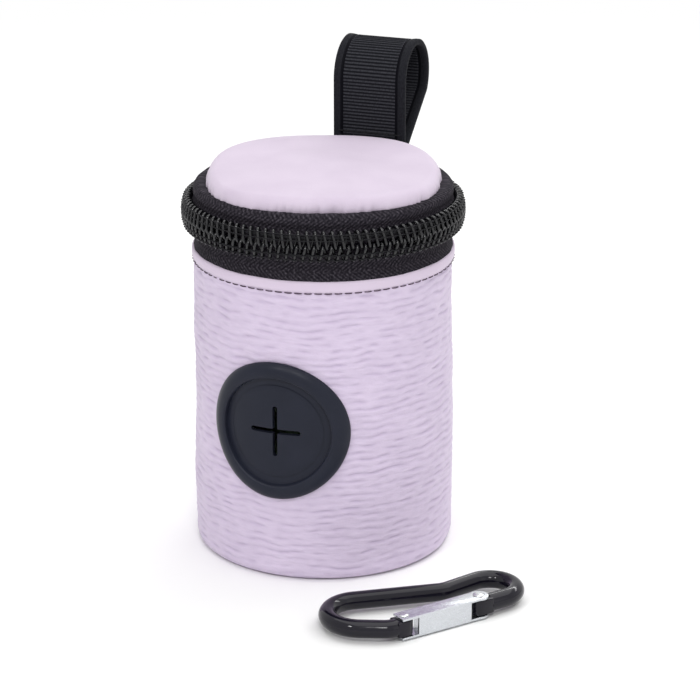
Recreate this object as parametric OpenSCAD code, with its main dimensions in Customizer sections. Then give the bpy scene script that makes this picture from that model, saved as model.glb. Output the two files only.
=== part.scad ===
// Dog poop bag dispenser: a round padded pouch with a zipped lid, a rubber
// dispensing port, a webbing loop and a small spring-gate carabiner.
// Millimetres, +Z up. The origin is the centre of the base, on the floor.
// The port faces -Y and the lid hinges at +Y.

/* [Pouch] */
// Outer diameter of the pouch at its rim
pouch_d = 60; // [56:0.5:66]
// Height from the floor to the top of the rim band
rim_z = 72.3; // [66:0.1:84]
// How much the radius grows from the rim to the foot
foot_flare = 0.4; // [0:0.1:0.8]
// Thickness of the outer fabric
shell_t = 0.8; // [0.6:0.1:1.1]
// Thickness of the foam in the wall and the base
foam_t = 2; // [1.6:0.1:2.6]
// Thickness of the lining
lining_t = 0.5; // [0.3:0.1:0.8]
// Radius of the rounded bottom edge
foot_r = 2; // [1.4:0.1:3]
// Height of the smooth band round the rim
rim_band_h = 2.5; // [2:0.1:4]
// How far the rim band stands proud of the wall
rim_band_proud = 0.35; // [0.1:0.05:0.6]

/* [Port] */
// Height of the port's centre
port_z = 36.5; // [30:0.5:44]
// Outer diameter of the rubber port's flange
port_d = 32.8; // [28:0.2:36]
// Width of the port's raised rim
port_rim_w = 3.6; // [2.4:0.1:4.4]
// How far the raised rim stands out from the wall
port_rim_h = 1.9; // [1.4:0.1:2.6]
// How far the recessed face stands out from the wall
port_face_h = 0.8; // [0.5:0.1:1.2]
// Thickness of the slit membrane
port_web_t = 1.3; // [0.8:0.1:1.8]
// Diameter of the port's neck through the wall
port_neck_d = 23.4; // [18:0.2:24]
// Wall of the port's neck
port_neck_t = 1.4; // [1:0.1:2]
// Diameter of the port's inner flange
port_inner_d = 28; // [26:0.5:30]
// Thickness of the port's inner flange
port_inner_t = 0.7; // [0.5:0.1:1]
// Length of each arm of the cross slit, end to end
slit_len = 12; // [8:0.5:16]
// Width of the cross slit
slit_w = 1.15; // [0.8:0.05:1.6]

/* [Zipper] */
// Height of the zipper's centre line above the rim
zip_rise = 8.4; // [8:0.1:11]
// Radius of the chain's middle, past the pouch's radius
chain_proud = 1.9; // [1.6:0.1:2.4]
// Inward tilt of each row of coil
coil_tilt = 15; // [8:1:18]
// Spacing of the coil's turns
coil_pitch = 1.9; // [1.8:0.05:2.4]
// Diameter of the coil's monofilament
coil_wire_d = 0.68; // [0.5:0.02:0.7]
// Thickness of a row of coil, over the wire
coil_t = 2.1; // [1.9:0.05:2.3]
// Width of a row of coil, from its heads to its tails
coil_w = 4.4; // [4:0.1:4.8]
// How far the heads reach past the centre line
head_reach = 0.55; // [0.3:0.05:0.7]
// Diameter of the cord inside the coil
cord_d = 0.6; // [0.4:0.05:0.7]
// Thickness of the zipper tape
tape_t = 0.6; // [0.4:0.05:0.8]
// Depth of tape sewn in below the rim
tape_tuck = 8; // [5:0.5:12]
// Half angle of the hinge panel at the back
hinge_half_a = 20; // [18:0.5:22]
// Angle from the back to where the zipper begins to open
fixed_a = 54.5; // [54:0.5:58]

/* [Lid] */
// Radius of the lid panel's seam
lid_seam_r = 27; // [25:0.2:28]
// Height of the lid panel's crown above its seam
lid_crown = 3.9; // [3:0.1:5.5]
// Radius of the lid panel's rolled edge
lid_edge_r = 2.8; // [2:0.1:3]
// Rise of the crown over the flat of the lid
lid_dome = 0.9; // [0.3:0.1:1.6]
// Height of the lid's seam above the zipper's centre line
lid_seam_rise = 6.6; // [6.2:0.1:8]
// Radius of the tape's bulge between the coil and the lid
band_bulge_r = 1.8; // [1.4:0.1:2.2]
// Thickness of the back hinge panel
hinge_panel_t = 0.8; // [0.6:0.1:1]
// Gap left open along the fold of the hinge
fold_gap = 0.4; // [0.3:0.1:0.8]

/* [Slider] */
// Length of the slider along the zipper
slider_len = 12; // [10:0.5:12.5]
// Thickness of the slider's plates
slider_t = 1; // [0.8:0.1:1.2]
// Gap between the slider and the coil
slider_gap = 0.4; // [0.3:0.05:0.5]
// Angle from the back at which the slider parks
park_a = 42; // [41.5:0.5:42.5]
// Length of the pull tab from its pivot
pull_len = 18; // [14:0.5:19]
// Width of the pull tab at its free end
pull_w = 5; // [4:0.2:6]
// Thickness of the pull tab
pull_t = 1.2; // [0.9:0.1:1.4]
// Height of the bail's opening
bail_h = 1.7; // [1.6:0.1:2]

/* [Loop] */
// Width of the webbing
webbing_w = 18; // [14:0.5:19]
// Thickness of the webbing
webbing_t = 1.5; // [1.2:0.1:1.8]
// Radius of the loop's round end, outside
loop_r = 9.2; // [7.5:0.1:10]
// Height of the round end's centre above the loop's stitching
loop_rise = 14.6; // [12:0.2:20]

/* [Bag roll] */
// Diameter of the full roll
roll_d = 35; // [28:0.5:38]
// Length of the roll
roll_len = 60; // [50:1:66]
// Outer diameter of the cardboard core
core_d = 15; // [13:0.5:18]
// Wall of the cardboard core
core_t = 1; // [0.6:0.1:1.4]

/* [Carabiner] */
// Diameter of the carabiner's bar
bar_d = 4.1; // [3.6:0.1:4.4]
// Radius of the big bow, to the bar's centre
bow_r = 7.5; // [7.2:0.1:9]
// Radius of the small eye, to the bar's centre
eye_r = 5.6; // [5:0.1:6]
// Straight length of the spine, from the bow to the waist
spine_len = 20.8; // [20:0.2:23]
// Distance between the gate's rivet and its latch pin
gate_len = 20; // [19:0.2:21]
// Angle between the gate and the spine
gate_taper = 19.2; // [17:0.2:20]
// Thickness of the gate's sheet
gate_t = 0.5; // [0.4:0.05:0.6]
// Diameter of the rivet and the latch pin
pin_d = 1.6; // [1.2:0.1:1.8]
// Wire diameter of the gate's spring
spring_wire_d = 0.4; // [0.3:0.05:0.5]

/* [Hidden] */
$fn = 96;

LILAC = "#d6c6e2";
BLACK = "#2b2b31";
FOAM = "#e8e4d8";
STEEL = "#b4b8c0";

// Clearances
seat_gap = 0.05;
loose_gap = 0.3;

// Radii of the wall's layers at the rim
pouch_r = pouch_d / 2;
function wall_r(z) = pouch_r + foot_flare * (rim_z - z) / rim_z;
function foam_r(z) = wall_r(z) - shell_t;
lining_r = pouch_r - shell_t - foam_t;
floor_z = shell_t + foam_t;
band_z = rim_z - rim_band_h;
tape_foot_z = rim_z - tape_tuck;
lining_top_z = rim_z - 1;

// The zipper's chain: its centre line and the tilted frame of a row of coil
chain_r = pouch_r + chain_proud;
chain_z = rim_z + zip_rise;
coil_half_t = (coil_t - coil_wire_d) / 2;
coil_run = coil_w - coil_t;
head_v = coil_t / 2 - head_reach;
tape_u = -coil_t / 2 - seat_gap - tape_t / 2;
tape_head_v = 0.75;
tape_tail_v = coil_w - head_reach + 0.75;
// A point of a row, v along the row from the centre line, u out of it
function row_r(v, u) = chain_r - v * sin(coil_tilt) + u * cos(coil_tilt);
function row_h(v, u) = v * cos(coil_tilt) + u * sin(coil_tilt);

// Angles, measured from +X; the back of the pouch is at 90
back_a = 90;
end_stop_a = 2.2;
stop_gap_a = 0.4;
chain_start = back_a + hinge_half_a + stop_gap_a;
chain_end = chain_start + 360 - 2 * (hinge_half_a + stop_gap_a);
coil_start = chain_start + end_stop_a + stop_gap_a;
coil_end = chain_end - end_stop_a - stop_gap_a;
lid_start = back_a + fixed_a;
lid_end = back_a + 360 - fixed_a;
turn_a = coil_pitch / chain_r * 180 / PI;
turns = floor((coil_end - coil_start) / turn_a);
fixed_turns = ceil((lid_start - coil_start) / turn_a - 0.5);

// The hinge's axis is the outer face of the back panel, level with the chain
hinge_y = row_r(tape_head_v, tape_u) + tape_t / 2 + 0.4;

// The lid
seam_z = chain_z + lid_seam_rise;
crown_z = seam_z + lid_crown;
bulge_c = [row_r(tape_tail_v, tape_u) + tape_t / 2 - band_bulge_r + 0.4,
    seam_z - band_bulge_r];
lid_floor_z = seam_z - 1.3;

// The hanging loop: the axis of its stitching and its round end
loop_axis = [hinge_y + 0.7, seam_z + 1.1];
loop_c = [loop_axis[0] - webbing_t + loop_r, loop_axis[1] + loop_rise];
loop_tip = [loop_c[0] - loop_r, loop_axis[1] - 1.8];

// The slider
crown_r = chain_r + coil_t / 2 + slider_gap;
cheek_h = row_h(coil_w - head_reach, 0) + slider_gap;
cheek_in_r = row_r(coil_w - head_reach, -coil_t / 2) + 0.6;
cheek_out_h = cheek_h + 0.8;
inner_plate_v = 3.4;
inner_plate_r = row_r(inner_plate_v, tape_u - tape_t / 2) - loose_gap;
slider_a = slider_len / chain_r * 180 / PI;
pivot_t = 1.9;
bail_bar = 1.2;
pull_r = crown_r + slider_t + 0.25;

// The carabiner, laid out from the centre of its bow, spine along +X
carabiner_at = [27, -47.7];
carabiner_turn = 33.7;
nose_splay = 16;
nose_reach = 6.6;
nose_bend_r = 5;
waist_bend_r = 5;
pin_from_corner = 3.6;
tail_run = 7.2;
head_h = 0.3;
gate_in_t = bar_d - 0.1;
tongue_t = gate_in_t - 0.4;
gate_w = 4;
pin_gap = 0.1;
hinge_flat = 2.6;
bar_z = gate_in_t / 2 + gate_t + seat_gap + head_h;
gate_dir = [cos(gate_taper), sin(gate_taper)];
gate_side = [-sin(gate_taper), cos(gate_taper)];
nose_corner = bow_r * [-sin(nose_splay), -cos(nose_splay)]
    + nose_reach * [cos(nose_splay), -sin(nose_splay)];
nose_tangent = nose_bend_r * tan((gate_taper + nose_splay) / 2);
nose_flat = pin_from_corner - nose_tangent;
pin_at = nose_corner + pin_from_corner * gate_dir;
rivet_at = pin_at + gate_len * gate_dir;
// The eye touches the gate's line; the neck runs from the waist as its tangent
waist = [spine_len, bow_r];
eye_c = rivet_at + tail_run * gate_dir + eye_r * gate_side;
neck_run = sqrt(pow(norm(eye_c - waist), 2) - eye_r * eye_r);
waist_turn = atan2(eye_c[1] - waist[1], eye_c[0] - waist[0]) + atan2(eye_r, neck_run);
waist_tangent = waist_bend_r * tan(waist_turn / 2);
// The gate's spring, along the gate from the latch pin
spring_turns = 7;
spring_r = 1.2;
tab_x = bar_d / 2 + 1.2;
spring_x = tab_x + gate_t + seat_gap;
plunger_x = gate_len - bar_d / 2 - loose_gap - 3.2;

// Flat 2D sector from the start angle to the end angle
module ring_sector(start, end) {
    rotate([0, 0, start]) rotate_extrude(angle = end - start) children();
}

// The outline of a layer that follows the wall, between two offsets from it
module wall_layer(z0, z1, in, out) {
    polygon([[wall_r(z0) + in, z0], [wall_r(z0) + out, z0],
        [wall_r(z1) + out, z1], [wall_r(z1) + in, z1]]);
}

// A cylinder along the port's axis, from outside to the pouch's middle
module port_cylinder(d) {
    translate([0, 0, port_z]) rotate([90, 0, 0]) cylinder(d = d, h = pouch_d);
}

module outer_wall() {
    color(LILAC) difference() {
        rotate_extrude() wall_layer(foot_r, band_z, -shell_t, 0);
        port_cylinder(port_neck_d + 2 * seat_gap);
    }
}

module wall_foam() {
    color(FOAM) difference() {
        rotate_extrude() polygon([[lining_r, floor_z], [foam_r(floor_z), floor_z],
            [foam_r(tape_foot_z), tape_foot_z], [foam_r(tape_foot_z) - tape_t, tape_foot_z],
            [foam_r(band_z) - tape_t, band_z], [foam_r(band_z) - tape_t, lining_top_z],
            [lining_r, lining_top_z]]);
        port_cylinder(port_neck_d + 2 * seat_gap);
    }
}

module lining() {
    color("#c9bcd6") difference() {
        translate([0, 0, floor_z + lining_t])
            rotate_extrude() translate([lining_r - lining_t, 0])
                square([lining_t, lining_top_z - floor_z - lining_t]);
        port_cylinder(port_neck_d + 2 * seat_gap);
    }
}

// Floor of the lining, sewn under its wall
module lining_floor() {
    color("#c9bcd6") translate([0, 0, floor_z]) cylinder(r = lining_r, h = lining_t);
}

// Half outline of a round tray: floor, rounded corner and short wall
module tray_half(r, corner, t, top) {
    square([r - corner, t]);
    translate([r - corner, corner]) difference() {
        intersection() {
            circle(r = corner);
            translate([0, -corner]) square(corner);
        }
        if (corner > t) circle(r = corner - t);
    }
    if (top > corner) translate([r - t, corner]) square([t, top - corner]);
}

module base_panel() {
    color(LILAC) rotate_extrude() tray_half(wall_r(foot_r), foot_r, shell_t, foot_r);
}

module base_foam() {
    r = wall_r(foot_r) - shell_t;
    corner = foot_r - shell_t;
    color(FOAM) rotate_extrude() translate([0, shell_t]) {
        square([r - corner, foam_t]);
        translate([0, corner]) square([r, foam_t - corner]);
        intersection() {
            translate([r - corner, corner]) circle(r = corner);
            square([r, foam_t]);
        }
    }
}

module rim_band() {
    in = -tape_t / 2;
    color(LILAC) rotate_extrude() {
        wall_layer(band_z, rim_z - rim_band_proud, in, rim_band_proud);
        translate([pouch_r, rim_z - rim_band_proud]) intersection() {
            union() {
                circle(r = rim_band_proud);
                translate([in, 0]) square([-in, rim_band_proud]);
            }
            translate([in, 0]) square([rim_band_proud - in, rim_band_proud]);
        }
    }
}

// Where the port's layers lie, as offsets from the wall
port_z0 = port_z - port_d / 2 - 1;
port_z1 = port_z + port_d / 2 + 1;

// One disc of the port that follows the wall, between two offsets
module port_disc(d, in, out) {
    intersection() {
        port_cylinder(d);
        rotate_extrude() wall_layer(port_z0, port_z1, in, out);
    }
}

// One arm of the slit, with round ends, along +X
module slit_arm() {
    run = slit_len - slit_w;
    rotate([90, 0, 0]) {
        translate([-run / 2, -slit_w / 2, 0]) cube([run, slit_w, pouch_d]);
        for (x = [-run / 2, run / 2]) translate([x, 0, 0]) cylinder(d = slit_w, h = pouch_d);
    }
}

module port_grommet() {
    wall_t = shell_t + foam_t + lining_t;
    face_d = port_d - 2 * port_rim_w;
    flange_r = lining_r - lining_t - seat_gap;
    color("#30343e") difference() {
        union() {
            difference() {
                port_disc(port_d, seat_gap, port_rim_h);
                port_disc(face_d, port_face_h, port_rim_h + 1);
            }
            port_disc(port_neck_d, flange_r - port_inner_t / 2 - wall_r(port_z), port_face_h);
            intersection() {
                port_cylinder(port_inner_d);
                translate([0, 0, port_z0]) difference() {
                    cylinder(r = flange_r, h = port_z1 - port_z0);
                    cylinder(r = flange_r - port_inner_t, h = port_z1 - port_z0);
                }
            }
        }
        intersection() {
            port_cylinder(port_neck_d - 2 * port_neck_t);
            rotate_extrude() wall_layer(port_z0, port_z1, -wall_t - 2 * port_inner_t - 1,
                port_face_h - port_web_t);
        }
        translate([0, 0, port_z]) for (a = [0, 90]) rotate([0, a, 0]) slit_arm();
    }
}

// A point of a row of the chain, side 1 above and -1 below the centre line
function row_point(v, u, side) = [row_r(v, u), chain_z + side * row_h(v, u)];

// Outline of the flat of a tape behind its row of coil
module tape_flat(side, tail_v) {
    // The same way round on both sides, so that the flats join what they meet
    out = tape_u + side * tape_t / 2;
    in = tape_u - side * tape_t / 2;
    polygon([row_point(tape_head_v, out, side), row_point(tail_v, out, side),
        row_point(tail_v, in, side), row_point(tape_head_v, in, side)]);
}

// Outline of what is sewn in at the rim and rises to an edge, in to out
module rim_riser(edge_in, edge_out) {
    knee = rim_band_h / 5;
    band_in = pouch_r - tape_t / 2;
    polygon([[foam_r(tape_foot_z) - tape_t + seat_gap, tape_foot_z],
        [foam_r(tape_foot_z), tape_foot_z], [foam_r(band_z), band_z],
        [band_in, band_z + knee], [band_in, rim_z], edge_out, edge_in,
        [band_in - tape_t, rim_z], [band_in - tape_t, band_z + knee],
        [foam_r(band_z) - tape_t + seat_gap, band_z]]);
}

// Outline of the bulge over the coil and the flat under the lid's seam
module lid_band(from_a, t) {
    far = 2 * band_bulge_r;
    translate(bulge_c) intersection() {
        difference() {
            circle(r = band_bulge_r);
            circle(r = band_bulge_r - t);
        }
        polygon([[0, 0], far * [cos(from_a), sin(from_a)], far * [1, 1], [0, far]]);
    }
    translate([lid_seam_r - shell_t, seam_z - t])
        square([bulge_c[0] - lid_seam_r + shell_t, t]);
}

module lower_zip_tape() {
    color(BLACK) ring_sector(chain_start, chain_end) {
        tape_flat(-1, tape_tail_v);
        rim_riser(row_point(tape_tail_v - 0.5, tape_u - tape_t / 2, -1),
            row_point(tape_tail_v - 0.5, tape_u + tape_t / 2, -1));
    }
}

module upper_zip_tape() {
    tail_a = -33;
    clear_a = -10;
    ray = 3 * band_bulge_r * [cos(clear_a), sin(clear_a)];
    color(BLACK) difference() {
        ring_sector(chain_start, chain_end) {
            tape_flat(1, tape_tail_v);
            lid_band(tail_a, tape_t);
        }
        // Cut back to the bulge where the short fixed tapes lie
        for (side = [0, 1]) mirror([side, 0, 0]) ring_sector(chain_start - 1, lid_start)
            polygon([bulge_c, [bulge_c[0] - 2 * band_bulge_r, bulge_c[1]],
                [bulge_c[0] - 2 * band_bulge_r, chain_z], [bulge_c[0] + ray[0], chain_z],
                bulge_c + ray]);
    }
}

module upper_tape_ends() {
    color(BLACK) for (side = [0, 1]) mirror([side, 0, 0])
        ring_sector(chain_start, lid_start - stop_gap_a) tape_flat(1, tape_tail_v - 0.5);
}

module end_stops() {
    w = 3.2;
    stop_r = row_r(tape_head_v, tape_u + tape_t / 2) + seat_gap;
    color(STEEL) for (side = [0, 1]) mirror([side, 0, 0])
        ring_sector(chain_start, chain_start + end_stop_a)
            translate([stop_r, chain_z - w]) square([chain_r + coil_t / 2 - stop_r, 2 * w]);
}

module hinge_panel_lower() {
    fold_z = chain_z - fold_gap / 2;
    color(BLACK) ring_sector(back_a - hinge_half_a, back_a + hinge_half_a)
        rim_riser([hinge_y - hinge_panel_t, fold_z], [hinge_y, fold_z]);
}

module hinge_panel_upper() {
    fold_z = chain_z + fold_gap / 2;
    bulge_r = bulge_c[0] + band_bulge_r;
    hem_r = 1;
    color(BLACK) ring_sector(back_a - hinge_half_a, back_a + hinge_half_a) {
        polygon([[hinge_y - hinge_panel_t, fold_z], [hinge_y, fold_z],
            [bulge_r, bulge_c[1]], [bulge_r - hinge_panel_t, bulge_c[1]]]);
        lid_band(0, hinge_panel_t);
        // The rolled hem that holds the loop's stitched end
        translate([loop_axis[0] - hem_r, loop_axis[1] - webbing_t - loose_gap - hem_r])
            circle(r = hem_r);
    }
}

// Steps of one turn of coil: turn angle at each ring, and which end it is at
COIL_TURN = [[0, 0], [60, 0], [120, 0], [180, 0], [180, 1], [240, 1], [300, 1], [360, 1]];
coil_len = 6 * coil_half_t + 2 * coil_run;
// Length of wire from the start of a turn to its ring k
function coil_at(k) = k * coil_half_t + (k > 3 ? coil_run - coil_half_t : 0);

// One ring of four points; the wire runs forward as it goes round
function coil_ring(start, i, side) =
    let (k = i % 8, a = COIL_TURN[k][0], w = coil_wire_d / 2,
        v = head_v + COIL_TURN[k][1] * coil_run - coil_half_t * sin(a),
        u = coil_half_t * cos(a),
        along = start + turn_a * (floor(i / 8) + coil_at(k) / coil_len))
    [for (m = [0:3])
        let (vm = v - w * cos(90 * m) * sin(a), um = u + w * cos(90 * m) * cos(a),
            am = along + w * sin(90 * m) / chain_r * 180 / PI)
        [row_r(vm, um) * cos(am), row_r(vm, um) * sin(am), chain_z + side * row_h(vm, um)]];

// Triangles of a tube of rings with this many sides
function tube_faces(rings, sides, flip) = let (last = (rings - 1) * sides)
    [for (f = concat(
        [for (i = [0:rings - 2], m = [0:sides - 1], half = [0, 1])
            let (a = i * sides + m, b = i * sides + (m + 1) % sides)
            half == 0 ? [a, b, b + sides] : [a, b + sides, a + sides]],
        [for (m = [1:sides - 2]) [0, m + 1, m]],
        [for (m = [1:sides - 2]) [last, last + m, last + m + 1]]))
        flip ? [f[0], f[2], f[1]] : f];

// A row of coil as one unbroken tube, side 1 above and -1 below
module coil(start, turn_count, side) {
    rings = [for (i = [0:8 * turn_count]) coil_ring(start, i, side)];
    polyhedron([for (r = rings) each r], tube_faces(len(rings), 4, side < 0));
    gaps = [for (i = [0:len(rings) - 9], p = rings[i], q = rings[i + 8]) norm(p - q)];
    echo(least_gap_between_turns = min(gaps));
}

module lower_zip_coil() {
    color(BLACK) coil(coil_start, turns, -1);
}

module upper_zip_coil() {
    color(BLACK) coil(coil_start + turn_a * (fixed_turns + 0.5), turns - 1 - 2 * fixed_turns, 1);
}

module upper_coil_ends() {
    color(BLACK) for (first = [0, turns - fixed_turns])
        coil(coil_start + turn_a * (first + 0.5), fixed_turns - 1, 1);
}

// The cord that runs inside a row of coil
module core_cord(start, end, side) {
    v = head_v + coil_run * 0.7;
    color("#3a3a40") ring_sector(start, end)
        translate(row_point(v, 0, side)) circle(d = cord_d, $fn = 24);
}

module lower_core_cord() {
    core_cord(coil_start, coil_end, -1);
}

module upper_core_cord() {
    core_cord(lid_start, lid_end, 1);
}

// Half outline of the lid's puffed top, shrunk by d
module lid_half(d) {
    edge_c = [lid_seam_r + 0.5 - lid_edge_r, crown_z - lid_dome - lid_edge_r];
    dome_r = (edge_c[0] * edge_c[0] + lid_dome * lid_dome) / (2 * lid_dome);
    intersection() {
        translate([0, seam_z]) square([pouch_r, lid_crown]);
        union() {
            translate(edge_c) circle(r = lid_edge_r - d);
            intersection() {
                translate([0, seam_z]) square([edge_c[0], lid_crown]);
                translate([0, crown_z - dome_r]) circle(r = dome_r - d, $fn = 720);
            }
        }
    }
}

module lid_top() {
    color(LILAC) rotate_extrude() difference() {
        lid_half(0);
        lid_half(shell_t);
    }
}

module lid_foam() {
    color(FOAM) rotate_extrude() {
        lid_half(shell_t + seat_gap);
        translate([0, lid_floor_z]) square([lid_seam_r - shell_t - seat_gap, seam_z - lid_floor_z]);
    }
}

module lid_lining() {
    r = bulge_c[0] - seat_gap;
    skirt_z = chain_z + row_h(coil_w - head_reach, 0) + 0.2;
    color("#c9bcd6") rotate_extrude() {
        translate([0, lid_floor_z - lining_t]) square([r, lining_t]);
        translate([r - lining_t, skirt_z]) square([lining_t, lid_floor_z - skirt_z]);
    }
}

// Outline of a teardrop: a circle and the two tangents from a point
module teardrop(c, r, tip) {
    d = norm(tip - c);
    half = acos(r / d);
    axis = atan2(tip[1] - c[1], tip[0] - c[0]);
    translate(c) circle(r = r);
    polygon([tip, c + r * [cos(axis + half), sin(axis + half)], c,
        c + r * [cos(axis - half), sin(axis - half)]]);
}

module hang_loop() {
    inner_r = loop_r - webbing_t;
    inner_tip = loop_c + (loop_tip - loop_c) * inner_r / loop_r;
    color("#2e2e34") translate([-webbing_w / 2, 0, 0]) rotate([90, 0, 90])
        linear_extrude(webbing_w) {
            difference() {
                teardrop(loop_c, loop_r, loop_tip);
                teardrop(loop_c, inner_r, inner_tip);
                translate([loop_tip[0] - 1, loop_tip[1] - 1])
                    square([webbing_w, loop_axis[1] - loop_tip[1] + 1]);
            }
            translate(loop_axis) circle(r = webbing_t);
        }
}

// Puts 2D children at the slider: x along the zipper, y up, drawn out from r0
module at_slider(r0, r1) {
    rotate([0, 0, back_a + park_a]) translate([r0, 0, chain_z])
        rotate([90, 0, 90]) linear_extrude(r1 - r0) children();
}

module slider_body() {
    half = slider_len / 2;
    nose = cheek_out_h;
    from_a = back_a + park_a - slider_a / 2 - 1;
    to_a = back_a + park_a + slider_a / 2 + 1;
    shell_out = crown_r + slider_t;
    color(STEEL) {
        intersection() {
            ring_sector(from_a, to_a) translate([0, chain_z]) polygon([
                [cheek_in_r, -cheek_out_h], [shell_out, -cheek_out_h], [shell_out, cheek_out_h],
                [cheek_in_r, cheek_out_h], [cheek_in_r, cheek_h], [crown_r, cheek_h],
                [crown_r, -cheek_h], [cheek_in_r, -cheek_h]]);
            at_slider(cheek_in_r - 2, shell_out + 1) {
                translate([nose - half, 0]) circle(r = nose);
                polygon([[nose - half, -nose], [half - 1, -nose], [half, -nose + 1],
                    [half, nose - 1], [half - 1, nose], [nose - half, nose]]);
            }
        }
        slider_bail();
        // The plate behind the tape
        back_h = row_h(inner_plate_v, 0);
        ring_sector(from_a + 1, to_a - 1)
            translate([inner_plate_r - slider_t, chain_z - back_h])
                square([slider_t, 2 * back_h]);
    }
}

// The bail: an arch along the zipper that holds the pull tab by one leg
module slider_bail() {
    w = 2 * pivot_t + bail_bar;
    foot_r = crown_r + slider_t / 2;
    top = crown_r + slider_t + bail_h + bail_bar;
    rotate([0, 0, back_a + park_a]) translate([0, 0, chain_z - bail_bar / 2])
        linear_extrude(bail_bar) difference() {
            union() {
                translate([foot_r, -w / 2]) square([top - foot_r - bail_bar, w]);
                translate([foot_r, -w / 2 + bail_bar]) square([top - foot_r, w - 2 * bail_bar]);
                for (side = [-1, 1])
                    translate([top - bail_bar, side * (w / 2 - bail_bar)]) circle(r = bail_bar);
            }
            translate([foot_r - 1, -w / 2 + bail_bar])
                square([top - foot_r + 1 - bail_bar, w - 2 * bail_bar]);
        }
}

module pull_tab() {
    eye_d = bail_bar * sqrt(2) + 0.4;
    eye_rim = 1;
    neck = 1.2;
    neck_y = -eye_d / 2 - 0.2;
    end_r = pull_w / 2;
    color(STEEL) at_slider(pull_r, pull_r + pull_t) translate([pivot_t, 0]) difference() {
        union() {
            circle(d = eye_d + 2 * eye_rim);
            polygon([[neck, neck_y], [-neck, neck_y],
                [-end_r, end_r - pull_len], [end_r, end_r - pull_len]]);
            translate([0, end_r - pull_len]) circle(r = end_r);
        }
        circle(d = eye_d);
    }
}

roll_z = floor_z + lining_t + loose_gap;

module bag_roll() {
    edge = 0.8;
    in = core_d / 2 + seat_gap;
    out = roll_d / 2;
    color("#9db39a") translate([0, 0, roll_z]) rotate_extrude()
        polygon([[in, 0], [out - edge, 0], [out, edge], [out, roll_len - edge],
            [out - edge, roll_len], [in, roll_len]]);
}

module roll_core() {
    color("#b79b74") translate([0, 0, roll_z]) rotate_extrude()
        translate([core_d / 2 - core_t, 0]) square([core_t, roll_len]);
}

// Puts children in the carabiner's plane, from the centre of its bow
module in_carabiner() {
    translate([carabiner_at[0], carabiner_at[1], bar_z]) rotate([0, 0, carabiner_turn]) children();
}

// Puts children on the gate's line, +X towards the hinge, from a point of it
module on_gate(at) {
    in_carabiner() translate([at[0], at[1], 0]) rotate([0, 0, gate_taper]) children();
}

// Places [x, y, heading] along a path of steps [run, bend radius, turn]
bend_step = 12;
function path_places(steps, at, i = 0) = i == len(steps) ? [at] :
    let (run = steps[i][0], bend = steps[i][1], turn = steps[i][2], left = sign(turn),
        foot = [at[0] + run * cos(at[2]), at[1] + run * sin(at[2])],
        centre = foot + left * bend * [-sin(at[2]), cos(at[2])],
        count = max(1, ceil(abs(turn) / bend_step)),
        places = [for (k = [0:count - 1]) let (h = at[2] + turn * k / count)
            [centre[0] + left * bend * sin(h), centre[1] - left * bend * cos(h), h]],
        h = at[2] + turn,
        next = [centre[0] + left * bend * sin(h), centre[1] - left * bend * cos(h), h])
    concat(run > 0 ? [at] : [], places, path_places(steps, next, i + 1));

// Round bar swept along the places of a path
module swept_bar(places, sides) {
    points = [for (p = places, m = [0:sides - 1])
        let (out = bar_d / 2 * cos(360 * m / sides), up = bar_d / 2 * sin(360 * m / sides))
        [p[0] - out * sin(p[2]), p[1] + out * cos(p[2]), up]];
    polyhedron(points, tube_faces(len(places), sides, true));
}

module carabiner_frame() {
    start = nose_corner + nose_tangent * gate_dir;
    reach = pin_d / 2 + pin_gap;
    tongue_w = bar_d - 0.1;
    sunk = 0.4;
    color(BLACK) {
        in_carabiner() swept_bar(path_places([
            [0, nose_bend_r, -gate_taper - nose_splay],
            [nose_reach - nose_tangent, bow_r, nose_splay - 180],
            [spine_len - waist_tangent, waist_bend_r, waist_turn],
            [neck_run - waist_tangent, eye_r, gate_taper - waist_turn - 180],
            [tail_run - hinge_flat, 0, 0]], [start[0], start[1], gate_taper + 180]), 16);
        // The nose's tongue, with a notch that the latch pin swings into
        on_gate(pin_at) translate([0, 0, -tongue_t / 2]) linear_extrude(tongue_t) difference() {
            union() {
                translate([-nose_flat - sunk, -tongue_w / 2]) square([nose_flat + sunk, tongue_w]);
                circle(d = tongue_w);
            }
            circle(r = reach);
            intersection() {
                translate([gate_len, 0]) difference() {
                    circle(r = gate_len + reach, $fn = 360);
                    circle(r = gate_len - reach, $fn = 360);
                }
                translate([-bar_d, 0]) square([2 * bar_d, bar_d]);
            }
        }
        // The hinge's tongue
        on_gate(rivet_at) translate([0, 0, -tongue_t / 2]) linear_extrude(tongue_t) difference() {
            union() {
                circle(d = tongue_w);
                translate([0, -tongue_w / 2]) square([hinge_flat + sunk, tongue_w]);
            }
            circle(d = pin_d + 2 * seat_gap);
        }
    }
}

// A pin through the gate with a domed head at each end, gap clear of the gate
module headed_pin(head_d, gap) {
    cheek = gate_in_t / 2 + gate_t + gap;
    translate([0, 0, -cheek]) cylinder(d = pin_d, h = 2 * cheek);
    for (side = [0, 1]) mirror([0, 0, side]) translate([0, 0, cheek])
        cylinder(d1 = head_d, d2 = head_d - 2 * head_h, h = head_h);
}

module gate_rivet() {
    color(STEEL) on_gate(rivet_at) headed_pin(2.6, seat_gap);
}

module latch_pin() {
    color(STEEL) on_gate(pin_at) headed_pin(2.2, 0);
}

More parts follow.
